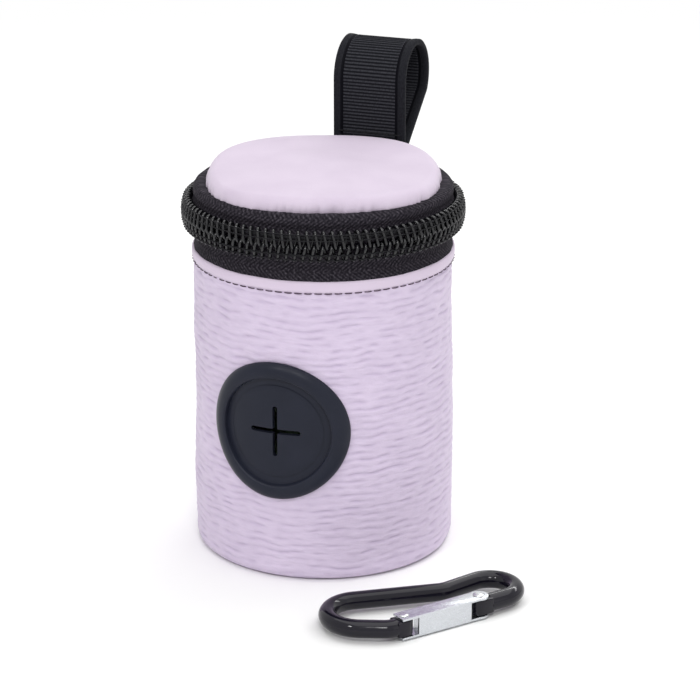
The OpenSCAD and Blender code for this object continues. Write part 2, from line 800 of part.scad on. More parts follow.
module carabiner_gate() {
    tip = 1.5;
    heel_r = 2.2;
    web_from = bar_d / 2 + 0.7;
    web_to = gate_len - bar_d / 2 - 1.2;
    color(STEEL) on_gate(pin_at) {
        for (z = [-gate_in_t / 2 - gate_t, gate_in_t / 2]) translate([0, 0, z])
            linear_extrude(gate_t) difference() {
                union() {
                    translate([-tip, -gate_w / 2]) square([gate_len + tip, gate_w]);
                    translate([gate_len, 0]) circle(r = heel_r);
                }
                circle(d = pin_d + 2 * seat_gap);
                translate([gate_len, 0]) circle(d = pin_d + 2 * pin_gap);
            }
        translate([web_from, -gate_w / 2, -gate_in_t / 2])
            cube([web_to - web_from, gate_t, gate_in_t]);
        // The tab that the spring bears on
        translate([tab_x, -gate_w / 2, -gate_in_t / 2]) cube([gate_t, gate_w - 1, gate_in_t]);
    }
}

// One ring of the spring, six points round the wire
function spring_ring(i, pitch) =
    let (w = spring_wire_d / 2, a = 45 * i, x = pitch * i / 8)
    [for (m = [0:5]) let (out = spring_r + w * cos(60 * m))
        [x + w * sin(60 * m), out * cos(a), out * sin(a)]];

module gate_spring() {
    length = plunger_x - spring_x - spring_wire_d - 2 * seat_gap;
    rings = [for (i = [0:8 * spring_turns]) spring_ring(i, length / spring_turns)];
    echo(least_gap_in_spring = length / spring_turns - spring_wire_d);
    color(STEEL) on_gate(pin_at) translate([spring_x + spring_wire_d / 2, 0, 0])
        polyhedron([for (r = rings) each r], tube_faces(len(rings), 6, false));
}

module spring_plunger() {
    tip_r = 0.8;
    head_t = 1;
    tip_x = gate_len - bar_d / 2 - loose_gap;
    color(STEEL) on_gate(pin_at) rotate([0, 90, 0]) {
        translate([0, 0, plunger_x]) cylinder(d = gate_w - gate_t - 0.6, h = head_t);
        translate([0, 0, plunger_x]) cylinder(r = tip_r, h = tip_x - tip_r - plunger_x);
        translate([0, 0, tip_x - tip_r]) sphere(r = tip_r);
    }
}

outer_wall();
wall_foam();
lining();
lining_floor();
base_panel();
base_foam();
rim_band();
port_grommet();
lower_zip_tape();
lower_zip_coil();
lower_core_cord();
upper_tape_ends();
upper_coil_ends();
end_stops();
hinge_panel_lower();
upper_zip_tape();
upper_zip_coil();
upper_core_cord();
hinge_panel_upper();
lid_top();
lid_foam();
lid_lining();
hang_loop();
slider_body();
pull_tab();
bag_roll();
roll_core();
carabiner_frame();
gate_rivet();
carabiner_gate();
latch_pin();
gate_spring();
spring_plunger();
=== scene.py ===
"""Looks of a zipped bag-dispenser pouch and its small carabiner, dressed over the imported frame.

Sizes inside the classes are in millimetres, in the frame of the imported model; each finished
mesh is brought to metres when its piece is made.
"""

import logging
import math
from dataclasses import dataclass
from enum import Enum
from typing import Callable, Iterable, Optional, Sequence

import bmesh
import bpy
from mathutils import Matrix, Vector, noise


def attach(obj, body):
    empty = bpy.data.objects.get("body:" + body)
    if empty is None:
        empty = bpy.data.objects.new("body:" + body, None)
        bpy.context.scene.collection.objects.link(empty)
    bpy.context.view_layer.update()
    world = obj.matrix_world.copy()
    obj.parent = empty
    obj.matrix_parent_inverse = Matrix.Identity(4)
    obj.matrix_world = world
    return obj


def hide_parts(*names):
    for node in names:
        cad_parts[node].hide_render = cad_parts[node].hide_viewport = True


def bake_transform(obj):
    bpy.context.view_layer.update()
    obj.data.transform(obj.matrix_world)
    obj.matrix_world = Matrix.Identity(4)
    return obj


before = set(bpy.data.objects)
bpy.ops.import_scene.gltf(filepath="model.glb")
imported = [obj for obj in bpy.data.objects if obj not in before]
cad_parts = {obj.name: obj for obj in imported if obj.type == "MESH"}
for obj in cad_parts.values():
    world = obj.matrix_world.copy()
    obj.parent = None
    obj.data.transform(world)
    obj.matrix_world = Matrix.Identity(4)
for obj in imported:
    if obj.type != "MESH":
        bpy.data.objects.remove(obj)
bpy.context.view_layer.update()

LOG = logging.getLogger("pouch")
MM = 0.001
TAU = 2 * math.pi
CRISP_EDGE = math.radians(30)

# Bends up to these angles, in degrees, are shaded as smooth
SMOOTH_METAL, SMOOTH_PLAIN, SMOOTH_BAR, SMOOTH_CLOTH, SMOOTH_WIRE = 35.0, 40.0, 50.0, 60.0, 80.0

Mesh = bmesh.types.BMesh
Profile = Sequence[tuple[float, float]]
Input = float | Sequence[float] | bpy.types.NodeSocket


# Meshes


def new_piece(
    name: str,
    bm: Mesh,
    material: bpy.types.Material,
    body: Optional[str],
    replaces: Sequence[str] = (),
    smooth_angle: float = SMOOTH_PLAIN,
) -> bpy.types.Object:
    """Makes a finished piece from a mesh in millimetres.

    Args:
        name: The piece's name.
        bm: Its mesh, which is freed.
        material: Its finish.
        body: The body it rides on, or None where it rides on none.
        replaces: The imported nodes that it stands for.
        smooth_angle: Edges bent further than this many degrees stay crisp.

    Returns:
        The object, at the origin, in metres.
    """
    limit = math.radians(smooth_angle)
    for edge in bm.edges:
        edge.smooth = edge.calc_face_angle(0.0) < limit
    for face in bm.faces:
        face.smooth = True
    bmesh.ops.scale(bm, vec=(MM, MM, MM), verts=bm.verts)
    mesh = bpy.data.meshes.new(name)
    bm.to_mesh(mesh)
    bm.free()
    mesh.materials.append(material)
    piece = bpy.data.objects.new(name, mesh)
    bpy.context.scene.collection.objects.link(piece)
    if body:
        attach(piece, body)
    if replaces:
        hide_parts(*replaces)
    LOG.info("%s: %d faces", name, len(mesh.polygons))
    return piece


def close_mesh(bm: Mesh) -> Mesh:
    """Merges doubles and turns every face outwards.

    Args:
        bm: A mesh in millimetres.

    Returns:
        The same mesh.
    """
    bmesh.ops.remove_doubles(bm, verts=bm.verts, dist=1e-4)
    bmesh.ops.recalc_face_normals(bm, faces=bm.faces)
    return bm


def spun_line(line: Profile, steps: int) -> Mesh:
    """Spins an open line a full turn about Z.

    Args:
        line: Its (radius, height) points.
        steps: Steps of the spin.

    Returns:
        The mesh, closed where the line starts and ends on the axis.
    """
    bm = bmesh.new()
    verts = [bm.verts.new((r, 0, z)) for r, z in line]
    edges = [bm.edges.new(pair) for pair in zip(verts, verts[1:])]
    bmesh.ops.spin(
        bm, geom=verts + edges, axis=(0, 0, 1), cent=(0, 0, 0),
        angle=TAU, steps=steps, use_merge=True,
    )
    return close_mesh(bm)


def spun_outline(outline: Profile, start: float, end: float, steps: int) -> Mesh:
    """Spins a closed outline about Z between two angles.

    Args:
        outline: The outline's (radius, height) corners.
        start: First angle, in degrees from +X.
        end: Last angle; a full turn from start closes the ring.
        steps: Steps of the spin.

    Returns:
        A closed mesh.
    """
    bm = bmesh.new()
    full = abs(end - start - 360) < 1e-6
    verts = [bm.verts.new((r, 0, z)) for r, z in outline]
    edges = [bm.edges.new(pair) for pair in zip(verts, verts[1:] + verts[:1])]
    geom = verts + edges if full else verts + edges + [bm.faces.new(verts)]
    bmesh.ops.rotate(bm, cent=(0, 0, 0), matrix=Matrix.Rotation(math.radians(start), 3, "Z"),
                     verts=verts)
    bmesh.ops.spin(
        bm, geom=geom, axis=(0, 0, 1), cent=(0, 0, 0),
        angle=math.radians(end - start), steps=steps, use_merge=full,
    )
    return close_mesh(bm)


def offset_outline(line: Profile, thickness: float) -> list[tuple[float, float]]:
    """Gives a line a thickness.

    Args:
        line: Its points.
        thickness: How far to the left of its run the second face lies.

    Returns:
        A closed outline: the line, and then the second face in the other direction.
    """
    left = []
    for i, (r, z) in enumerate(line):
        a, b = line[max(i - 1, 0)], line[min(i + 1, len(line) - 1)]
        dr, dz = b[0] - a[0], b[1] - a[1]
        size = math.hypot(dr, dz)
        left.append((r - dz / size * thickness, z + dr / size * thickness))
    return list(line) + left[::-1]


def smooth_line(points: Profile, step: float) -> list[tuple[float, float]]:
    """Runs a rounded line through points.

    Args:
        points: The points that it passes.
        step: About how far apart its own points are, in millimetres.

    Returns:
        The line's points.
    """
    out = []
    last = len(points) - 1
    for i in range(last):
        p = [points[max(0, min(last, i + k))] for k in (-1, 0, 1, 2)]
        count = max(1, round(math.dist(p[1], p[2]) / step))
        for j in range(count):
            t = j / count
            out.append(tuple(
                0.5 * (2 * p[1][k] + (p[2][k] - p[0][k]) * t
                       + (2 * p[0][k] - 5 * p[1][k] + 4 * p[2][k] - p[3][k]) * t * t
                       + (3 * p[1][k] - p[0][k] - 3 * p[2][k] + p[3][k]) * t ** 3)
                for k in (0, 1)))
    return out + [tuple(points[-1])]


def arc(centre: tuple[float, float], radius: float, start: float, end: float,
        count: int) -> list[tuple[float, float]]:
    """Gives the points of an arc.

    Args:
        centre: Its centre.
        radius: Its radius.
        start: First angle in degrees.
        end: Last angle in degrees.
        count: Number of steps between them.

    Returns:
        One point more than there are steps.
    """
    turns = [math.radians(start + (end - start) * i / count) for i in range(count + 1)]
    return [(centre[0] + radius * math.cos(a), centre[1] + radius * math.sin(a)) for a in turns]


def extruded(outline: Profile, height: float, base: float) -> Mesh:
    """Extrudes a flat outline upwards.

    Args:
        outline: Its (x, y) corners.
        height: How far it goes up.
        base: The height at which it starts.

    Returns:
        A closed mesh.
    """
    bm = bmesh.new()
    face = bm.faces.new([bm.verts.new((x, y, base)) for x, y in outline])
    made = bmesh.ops.extrude_face_region(bm, geom=[face])
    top = [v for v in made["geom"] if isinstance(v, bmesh.types.BMVert)]
    bmesh.ops.translate(bm, vec=(0, 0, height), verts=top)
    return close_mesh(bm)


def soften_edges(bm: Mesh, width: float, segments: int = 2) -> Mesh:
    """Rounds each crisp edge.

    Args:
        bm: A closed mesh in millimetres.
        width: Width of the rounding.
        segments: Steps of the rounding.

    Returns:
        The same mesh.
    """
    edges = [e for e in bm.edges if e.is_manifold and e.calc_face_angle(0.0) > CRISP_EDGE]
    bmesh.ops.bevel(
        bm, geom=edges, offset=width, offset_type="OFFSET", affect="EDGES",
        segments=segments, profile=0.5, material=-1, clamp_overlap=True,
    )
    return bm


def softened_copy(node: str, width: float, segments: int = 2) -> Mesh:
    """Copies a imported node's mesh and rounds its crisp edges.

    Args:
        node: The node's name.
        width: Width of the rounding, in millimetres.
        segments: Steps of the rounding.

    Returns:
        The copy, in millimetres.
    """
    bm = bmesh.new()
    bm.from_mesh(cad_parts[node].data)
    bmesh.ops.scale(bm, vec=(1 / MM,) * 3, verts=bm.verts)
    bmesh.ops.remove_doubles(bm, verts=bm.verts, dist=2e-3)
    bmesh.ops.dissolve_degenerate(bm, edges=bm.edges, dist=1e-3)
    bmesh.ops.dissolve_limit(bm, angle_limit=math.radians(0.5), verts=bm.verts, edges=bm.edges)
    return soften_edges(bm, width, segments)


def wrap_uv(bm: Mesh, radius: float) -> None:
    """Unwraps a mesh round Z, with u along the ring and v up, both in millimetres.

    Args:
        bm: The mesh.
        radius: The ring's radius, which sets the scale of u.
    """
    layer = bm.loops.layers.uv.verify()
    for face in bm.faces:
        middle = face.calc_center_median()
        turn = math.atan2(middle.y, middle.x)
        for loop in face.loops:
            p = loop.vert.co
            a = math.atan2(p.y, p.x)
            a += TAU * round((turn - a) / TAU)
            loop[layer].uv = (a * radius, p.z)


def tube(name: str, lines: Iterable[Sequence[Vector]], radius: float, sides: int = 8,
         swell: Optional[Callable[[int], float]] = None) -> Mesh:
    """Sweeps round wire along lines of points.

    Args:
        name: Name of the passing curve.
        lines: Lines of points, in millimetres.
        radius: Radius of the wire.
        sides: Sides of the wire.
        swell: Gives the radius factor at a point's number.

    Returns:
        The wires as one mesh, with flat ends.
    """
    curve = bpy.data.curves.new(name, "CURVE")
    curve.dimensions = "3D"
    curve.bevel_depth = radius
    curve.bevel_resolution = max(0, (sides - 4) // 2)
    curve.use_fill_caps = True
    for line in lines:
        spline = curve.splines.new("POLY")
        spline.points.add(len(line) - 1)
        for i, p in enumerate(line):
            spline.points[i].co = (*p, 1)
            spline.points[i].radius = swell(i) if swell else 1.0
    holder = bpy.data.objects.new(name + "_curve", curve)
    bpy.context.scene.collection.objects.link(holder)
    bm = evaluated(holder)
    bpy.data.curves.remove(curve)
    return close_mesh(bm)


def evaluated(holder: bpy.types.Object) -> Mesh:
    """Takes the mesh that an object's curve or modifiers make, and removes the object.

    Args:
        holder: The passing object.

    Returns:
        Its mesh, in the object's own units.
    """
    mesh = bpy.data.meshes.new_from_object(
        holder.evaluated_get(bpy.context.evaluated_depsgraph_get()))
    bm = bmesh.new()
    bm.from_mesh(mesh)
    bpy.data.objects.remove(holder)
    bpy.data.meshes.remove(mesh)
    return bm


def joined(*parts: Mesh) -> Mesh:
    """Puts several meshes into one.

    Args:
        *parts: The meshes, which are freed.

    Returns:
        The whole.
    """
    whole = bmesh.new()
    for part in parts:
        mesh = bpy.data.meshes.new("part")
        part.to_mesh(mesh)
        part.free()
        whole.from_mesh(mesh)
        bpy.data.meshes.remove(mesh)
    return whole


def ripple(x: float, y: float, z: float) -> float:
    """Smooth noise from -1 to 1 at a point."""
    return noise.noise(Vector((x, y, z)))


def step_up(low: float, high: float, value: float) -> float:
    """Rises smoothly from 0 at low to 1 at high, or falls where low is the higher one."""
    t = max(0.0, min(1.0, (value - low) / (high - low)))
    return t * t * (3 - 2 * t)


def outward(point: Vector) -> Vector:
    """Direction away from the Z axis at a point."""
    return Vector((point.x, point.y, 0)).normalized()


# Finishes


# Places of the colour sockets on a Mix node
MIX_COLOUR_A, MIX_COLOUR_B, MIX_COLOUR_RESULT = 6, 7, 2


class Graph:
    """The nodes of a material or of the world, made one at a time and linked by name."""

    def __init__(self, name: str, tree: Optional[bpy.types.NodeTree] = None) -> None:
        """Starts a material with a Principled shader, or takes a world's nodes.

        Args:
            name: The material's name.
            tree: The world's nodes, or None for a new material.
        """
        self.tree = tree
        if tree is None:
            self.material = bpy.data.materials.new(name)
            self.material.use_nodes = True
            self.tree = self.material.node_tree
            self.shader = self.tree.nodes["Principled BSDF"]

    def node(self, kind: str, inputs: Optional[dict[int | str, Input]] = None,
             **settings: str) -> bpy.types.Node:
        """Adds a node.

        Args:
            kind: Its type.
            inputs: Values or output sockets, by input name or number.
            **settings: Its own properties.

        Returns:
            The node.
        """
        made = self.tree.nodes.new(kind)
        for key, value in settings.items():
            setattr(made, key, value)
        for key, value in (inputs or {}).items():
            self.feed(made.inputs[key], value)
        return made

    def feed(self, socket: bpy.types.NodeSocket, value: Input) -> None:
        """Links an output to a socket, or sets the socket's own value.

        Args:
            socket: The input.
            value: What it gets.
        """
        if isinstance(value, bpy.types.NodeSocket):
            self.tree.links.new(value, socket)
        else:
            socket.default_value = value

    def math(self, operation: str, *values: Input) -> bpy.types.NodeSocket:
        """Adds a Math node and returns its output."""
        return self.node("ShaderNodeMath", dict(enumerate(values)),
                         operation=operation).outputs[0]

    def scaled(self, value: Input, factor: Input, added: Input) -> bpy.types.NodeSocket:
        """Multiplies a value and adds to it."""
        return self.math("MULTIPLY_ADD", value, factor, added)

    def background_rays(self) -> bpy.types.NodeSocket:
        """Tells rays of the camera, of gloss and of glass from those that light the object.

        Returns:
            An output that is 1 for them and otherwise 0.
        """
        rays = self.node("ShaderNodeLightPath").outputs
        return self.math("MAXIMUM", rays["Is Camera Ray"], self.math(
            "MAXIMUM", rays["Is Glossy Ray"], rays["Is Transmission Ray"]))

    def tint(self, factor: bpy.types.NodeSocket, low: Sequence[float],
             high: Sequence[float]) -> bpy.types.NodeSocket:
        """Mixes two colours.

        Args:
            factor: The share of the second colour.
            low: The first colour.
            high: The second colour.

        Returns:
            The mixed colour's output.
        """
        made = self.node("ShaderNodeMix", {"Factor": factor}, data_type="RGBA")
        self.feed(made.inputs[MIX_COLOUR_A], (*low, 1))
        self.feed(made.inputs[MIX_COLOUR_B], (*high, 1))
        return made.outputs[MIX_COLOUR_RESULT]

    def grain(self, size_mm: float, detail: float = 2.0, stretch: Sequence[float] = (1, 1, 1),
              space: str = "Object") -> bpy.types.NodeSocket:
        """Adds noise.

        Args:
            size_mm: About the size of its grains, in millimetres.
            detail: How much finer noise it holds.
            stretch: How much finer it is along each axis.
            space: The coordinates that it reads, Object or UV.

        Returns:
            The noise's output, from 0 to 1.
        """
        coord = self.node("ShaderNodeTexCoord").outputs[space]
        unit = 1 / (size_mm * MM) if space == "Object" else 1 / size_mm
        place = self.node("ShaderNodeMapping", {
            "Vector": coord, "Scale": [unit * s for s in stretch]})
        return self.node("ShaderNodeTexNoise", {
            "Vector": place.outputs[0], "Scale": 1.0, "Detail": detail}).outputs["Fac"]

    def bump(self, height: bpy.types.NodeSocket, distance_mm: float, strength: float) -> None:
        """Feeds the shader's normal from a height."""
        made = self.node("ShaderNodeBump", {
            "Height": height, "Strength": strength, "Distance": distance_mm * MM})
        self.feed(self.shader.inputs["Normal"], made.outputs[0])

    def set(self, **values: Input) -> None:
        """Sets the shader's sockets; an underscore stands for a space."""
        for key, value in values.items():
            self.feed(self.shader.inputs[key.replace("_", " ")], value)


@dataclass(frozen=True)
class PouchFabric:
    """Lilac woven fabric, puckered or smooth, with painted shade in the puckered kind's rib
    grooves.
    """

    name: str
    light: tuple[float, float, float] = (0.735, 0.635, 0.795)
    dark: tuple[float, float, float] = (0.48, 0.395, 0.55)
    puckered: bool = False

    def build(self) -> bpy.types.Material:
        """Makes the material.

        Returns:
            The material.
        """
        g = Graph(self.name)
        weave = g.grain(0.28, 1.0, (1, 1, 1.6))
        cloud = g.grain(9.0, 3.0)
        if self.puckered:
            # The stored rib height darkens the colour in the grooves: painted shade (on the base
            # it holds random tone)
            shade_and_tone = g.node("ShaderNodeAttribute", attribute_name="shade_and_tone").outputs["Fac"]
            fine = g.grain(0.75, 3.0, (0.35, 0.35, 1.6))
            tone = g.math("ADD", g.math("MULTIPLY", shade_and_tone, 0.62), g.math("MULTIPLY", fine, 0.34))
            height = g.math("ADD", g.math("MULTIPLY", fine, 0.75), g.math("MULTIPLY", weave, 0.25))
            g.bump(height, 0.26, 0.9)
        else:
            tone = g.math("ADD", g.math("MULTIPLY", cloud, 0.55), g.math("MULTIPLY", weave, 0.35))
            g.bump(weave, 0.05, 0.45)
        shade = g.math("ADD", tone, g.math("MULTIPLY", g.math("SUBTRACT", cloud, 0.5), 0.3))
        g.set(Base_Color=g.tint(shade, self.dark, self.light), Roughness=0.62,
              Sheen_Weight=0.18, Sheen_Roughness=0.45, Specular_IOR_Level=0.35)
        return g.material


@dataclass(frozen=True)
class LiningFabric:
    """Plain thin lining with a fine weave."""

    name: str
    light: tuple[float, float, float] = (0.60, 0.52, 0.68)
    dark: tuple[float, float, float] = (0.50, 0.42, 0.58)

    def build(self) -> bpy.types.Material:
        """Makes the material.

        Returns:
            The material.
        """
        g = Graph(self.name)
        weave = g.grain(0.3, 1.0)
        g.set(Base_Color=g.tint(g.grain(6.0, 3.0), self.dark, self.light), Roughness=0.75,
              Sheen_Weight=0.15)
        g.bump(weave, 0.05, 0.5)
        return g.material


class Weave(Enum):
    """Ways a black tape is woven."""

    TWILL = "twill"
    RIB = "rib"


@dataclass(frozen=True)
class BlackTape:
    """Black woven tape or webbing, patterned along its own UV map in millimetres; painted glints
    and shade.
    """

    name: str
    weave: Weave
    pitch: float = 1.15
    edge: float = 0.0
    light: tuple[float, float, float] = (0.094, 0.084, 0.102)
    dark: tuple[float, float, float] = (0.004, 0.003, 0.006)
    fold: float = 2.4
    slant: float = 1.3
    # Half width of the painted shade band along the webbing's grooves, in millimetres
    groove: float = 0.35

    def build(self) -> bpy.types.Material:
        """Makes the material.

        Returns:
            The material.
        """
        g = Graph(self.name)
        uv = g.node("ShaderNodeUVMap").outputs[0]
        parts = g.node("ShaderNodeSeparateXYZ", {0: uv})
        u, v = parts.outputs[0], parts.outputs[1]
        turn = TAU / self.pitch
        if self.weave is Weave.TWILL:
            # Herringbone: the slant turns back at each fold, every few millimetres of height
            height = g.math("PINGPONG", v, self.fold)
            run = g.math("MULTIPLY", g.scaled(height, self.slant, u), turn)
        else:
            run = g.math("MULTIPLY", v, turn)
        wave = g.scaled(g.math("SINE", run), 0.5, 0.5)
        if self.edge:
            inside = g.math("LESS_THAN", g.math("ABSOLUTE", u), self.edge)
            wave = g.scaled(wave, inside, g.scaled(inside, -0.3, 0.3))
        yarn = g.grain(0.5, 3.0, (1.6, 0.8, 1) if self.edge else (1, 1, 1), "UV")
        if self.edge:
            yarn_glint_and_shade = g.scaled(yarn, 1.1, 0.0)
            # A dark band along each groove inside the webbing's plain edges: painted shade
            groove = g.math("LESS_THAN", g.math("ABSOLUTE", g.math(
                "SUBTRACT", g.math("ABSOLUTE", u), self.edge + 0.3)), self.groove)
            yarn_glint_and_shade = g.math("MULTIPLY", yarn_glint_and_shade, g.scaled(groove, -0.85, 1.0))
        else:
            # Sparse bright yarn flecks: painted highlights on the twill
            yarn_glint_and_shade = g.math("POWER", g.math("MULTIPLY", yarn, 1.45), 3.0)
        floor = 0.04 if self.edge else 0.25
        tone = g.math("MULTIPLY", g.scaled(wave, 0.6, floor), yarn_glint_and_shade)
        g.set(Base_Color=g.tint(tone, self.dark, self.light), Roughness=0.75,
              Specular_IOR_Level=0.06)
        g.bump(g.math("ADD", wave, g.math("MULTIPLY", yarn, 0.8)), 0.10, 0.7)
        return g.material


@dataclass(frozen=True)
class Thread:
    """Twisted sewing thread or cord."""

    name: str
    colour: tuple[float, float, float] = (0.016, 0.016, 0.019)

    def build(self) -> bpy.types.Material:
        """Makes the material.

        Returns:
            The material.
        """
        g = Graph(self.name)
        yarn = g.grain(0.22, 2.0)
        dark = tuple(c * 0.5 for c in self.colour)
        g.set(Base_Color=g.tint(yarn, dark, self.colour), Roughness=0.6, Sheen_Weight=0.04,
              Specular_IOR_Level=0.12)
        g.bump(yarn, 0.05, 0.6)
        return g.material


@dataclass(frozen=True)
class CoilPlastic:
    """Glossy drawn monofilament."""

    name: str
    colour: tuple[float, float, float] = (0.005, 0.005, 0.007)

    def build(self) -> bpy.types.Material:
        """Makes the material.

        Returns:
            The material.
        """
        g = Graph(self.name)
        smear = g.grain(0.8, 2.0)
        g.set(Base_Color=g.tint(smear, tuple(c * 0.6 for c in self.colour), self.colour),
              Roughness=g.scaled(smear, 0.08, 0.09), Specular_IOR_Level=0.5)
        g.bump(smear, 0.02, 0.2)
        return g.material


@dataclass(frozen=True)
class PortRubber:
    """Dark moulded rubber with a soft bloom."""

    name: str
    colour: tuple[float, float, float] = (0.014, 0.016, 0.027)

    def build(self) -> bpy.types.Material:
        """Makes the material.

        Returns:
            The material.
        """
        g = Graph(self.name)
        bloom = g.grain(7.0, 4.0)
        pores = g.grain(0.25, 2.0)
        light = tuple(c * 1.25 for c in self.colour)
        g.set(Base_Color=g.tint(bloom, tuple(c * 0.85 for c in self.colour), light),
              Roughness=g.scaled(pores, 0.12, 0.32), Specular_IOR_Level=0.16)
        g.bump(pores, 0.02, 0.35)
        return g.material


class MetalKind(Enum):
    """Metals on the carabiner and the zipper: colour, metalness and roughness."""

    ENAMEL = ((0.006, 0.005, 0.011), 0.0, 0.09)
    SHEET = ((0.63, 0.65, 0.68), 1.0, 0.26)
    RIVET = ((0.66, 0.67, 0.69), 1.0, 0.20)
    SPRING = ((0.52, 0.53, 0.55), 1.0, 0.28)
    SLIDER = ((0.022, 0.022, 0.026), 0.25, 0.30)


@dataclass(frozen=True)
class Metal:
    """Plain or enamelled metal with fine wear."""

    name: str
    kind: MetalKind

    def build(self) -> bpy.types.Material:
        """Makes the material.

        Returns:
            The material.
        """
        colour, metal, rough = self.kind.value
        g = Graph(self.name)
        wear = g.grain(1.6, 4.0)
        lines = g.grain(0.5, 3.0, (0.25, 2.0, 2.0))
        g.set(Base_Color=g.tint(wear, tuple(c * 0.86 for c in colour), colour), Metallic=metal,
              Roughness=g.scaled(lines, 0.10, rough - 0.04))
        if self.kind is MetalKind.ENAMEL:
            g.set(Specular_IOR_Level=0.3)
        g.bump(lines, 0.012, 0.25)
        return g.material


@dataclass(frozen=True)
class RollFilm:
    """Wound plastic film, seen as fine layers on the ends and soft folds on the side."""

    name: str
    light: tuple[float, float, float] = (0.36, 0.47, 0.34)
    dark: tuple[float, float, float] = (0.24, 0.34, 0.23)

    def build(self) -> bpy.types.Material:
        """Makes the material.

        Returns:
            The material.
        """
        g = Graph(self.name)
        coord = g.node("ShaderNodeTexCoord").outputs["Object"]
        parts = g.node("ShaderNodeSeparateXYZ", {0: coord})
        radius = g.math("SQRT", g.math(
            "ADD", g.math("POWER", parts.outputs[0], 2.0), g.math("POWER", parts.outputs[1], 2.0)))
        layers = g.math("SINE", g.math("MULTIPLY", radius, TAU / (0.35 * MM)))
        folds = g.grain(4.0, 3.0, (1, 1, 0.2))
        tone = g.math("ADD", g.math("MULTIPLY", layers, 0.18), folds)
        g.set(Base_Color=g.tint(tone, self.dark, self.light), Roughness=0.38,
              Specular_IOR_Level=0.5)
        g.bump(tone, 0.12, 0.5)
        return g.material


@dataclass(frozen=True)
class Cardboard:
    """Wound grey-brown board."""

    name: str

    def build(self) -> bpy.types.Material:
        """Makes the material.

        Returns:
            The material.
        """
        g = Graph(self.name)
        fibre = g.grain(0.6, 4.0, (1, 1, 0.3))
        g.set(Base_Color=g.tint(fibre, (0.36, 0.25, 0.14), (0.56, 0.42, 0.26)), Roughness=0.85)
        g.bump(fibre, 0.06, 0.5)
        return g.material


@dataclass(frozen=True)
class Finishes:
    """Every finish of the part, built once."""

    body: bpy.types.Material
    smooth: bpy.types.Material
    lid: bpy.types.Material
    lining: bpy.types.Material
    tape: bpy.types.Material
    webbing: bpy.types.Material
    thread: bpy.types.Material
    seam_thread: bpy.types.Material
    coil: bpy.types.Material
    rubber: bpy.types.Material
    enamel: bpy.types.Material
    sheet: bpy.types.Material
    rivet: bpy.types.Material
    spring: bpy.types.Material
    slider: bpy.types.Material
    film: bpy.types.Material
    board: bpy.types.Material

    @staticmethod
    def build() -> "Finishes":
        """Makes every material.

        Returns:
            The set of finishes.
        """
        return Finishes(
            body=PouchFabric("puckered_lilac", puckered=True).build(),
            smooth=PouchFabric("smooth_lilac", light=(0.69, 0.595, 0.72),
                               dark=(0.63, 0.53, 0.665)).build(),
            lid=PouchFabric("lid_lilac", light=(0.665, 0.58, 0.69),
                            dark=(0.55, 0.465, 0.58)).build(),
            lining=LiningFabric("lining_lilac").build(),
            tape=BlackTape("twill_tape", Weave.TWILL).build(),
            webbing=BlackTape("ribbed_webbing", Weave.RIB, 0.8, 6.6, (0.105, 0.108, 0.125),
                              (0.002, 0.002, 0.004)).build(),
            thread=Thread("black_thread").build(),
            # Thread of the rim seam, kept dark partly as painted shade of the needle puckers along
            # it
            seam_thread=Thread("plum_thread_and_shade", (0.075, 0.040, 0.075)).build(),
            coil=CoilPlastic("black_coil").build(),
            rubber=PortRubber("moulded_rubber").build(),
            enamel=Metal("black_enamel", MetalKind.ENAMEL).build(),
            sheet=Metal("gate_sheet", MetalKind.SHEET).build(),
            rivet=Metal("rivet_metal", MetalKind.RIVET).build(),
            spring=Metal("spring_wire", MetalKind.SPRING).build(),
            slider=Metal("black_slider", MetalKind.SLIDER).build(),
            film=RollFilm("wound_film").build(),
            board=Cardboard("core_board").build(),
        )


# What the sub-assemblies share


@dataclass
class Dressed:
    """A sub-assembly with the finishes that dress it."""

    finish: Finishes


@dataclass
class Sewn(Dressed):
    """Sizes that the pouch, the zipper and the lid share."""

    rim_r: float = 30.0
    rim_z: float = 72.3
    chain_z: float = 80.7
    seam_r: float = 27.0
    seam_z: float = 87.3
    bulge_r: float = 1.8
    bulge_at: tuple[float, float] = (28.257, 85.5)
    tuck_in: tuple[float, float] = (0.75, 3.2)


# The pouch


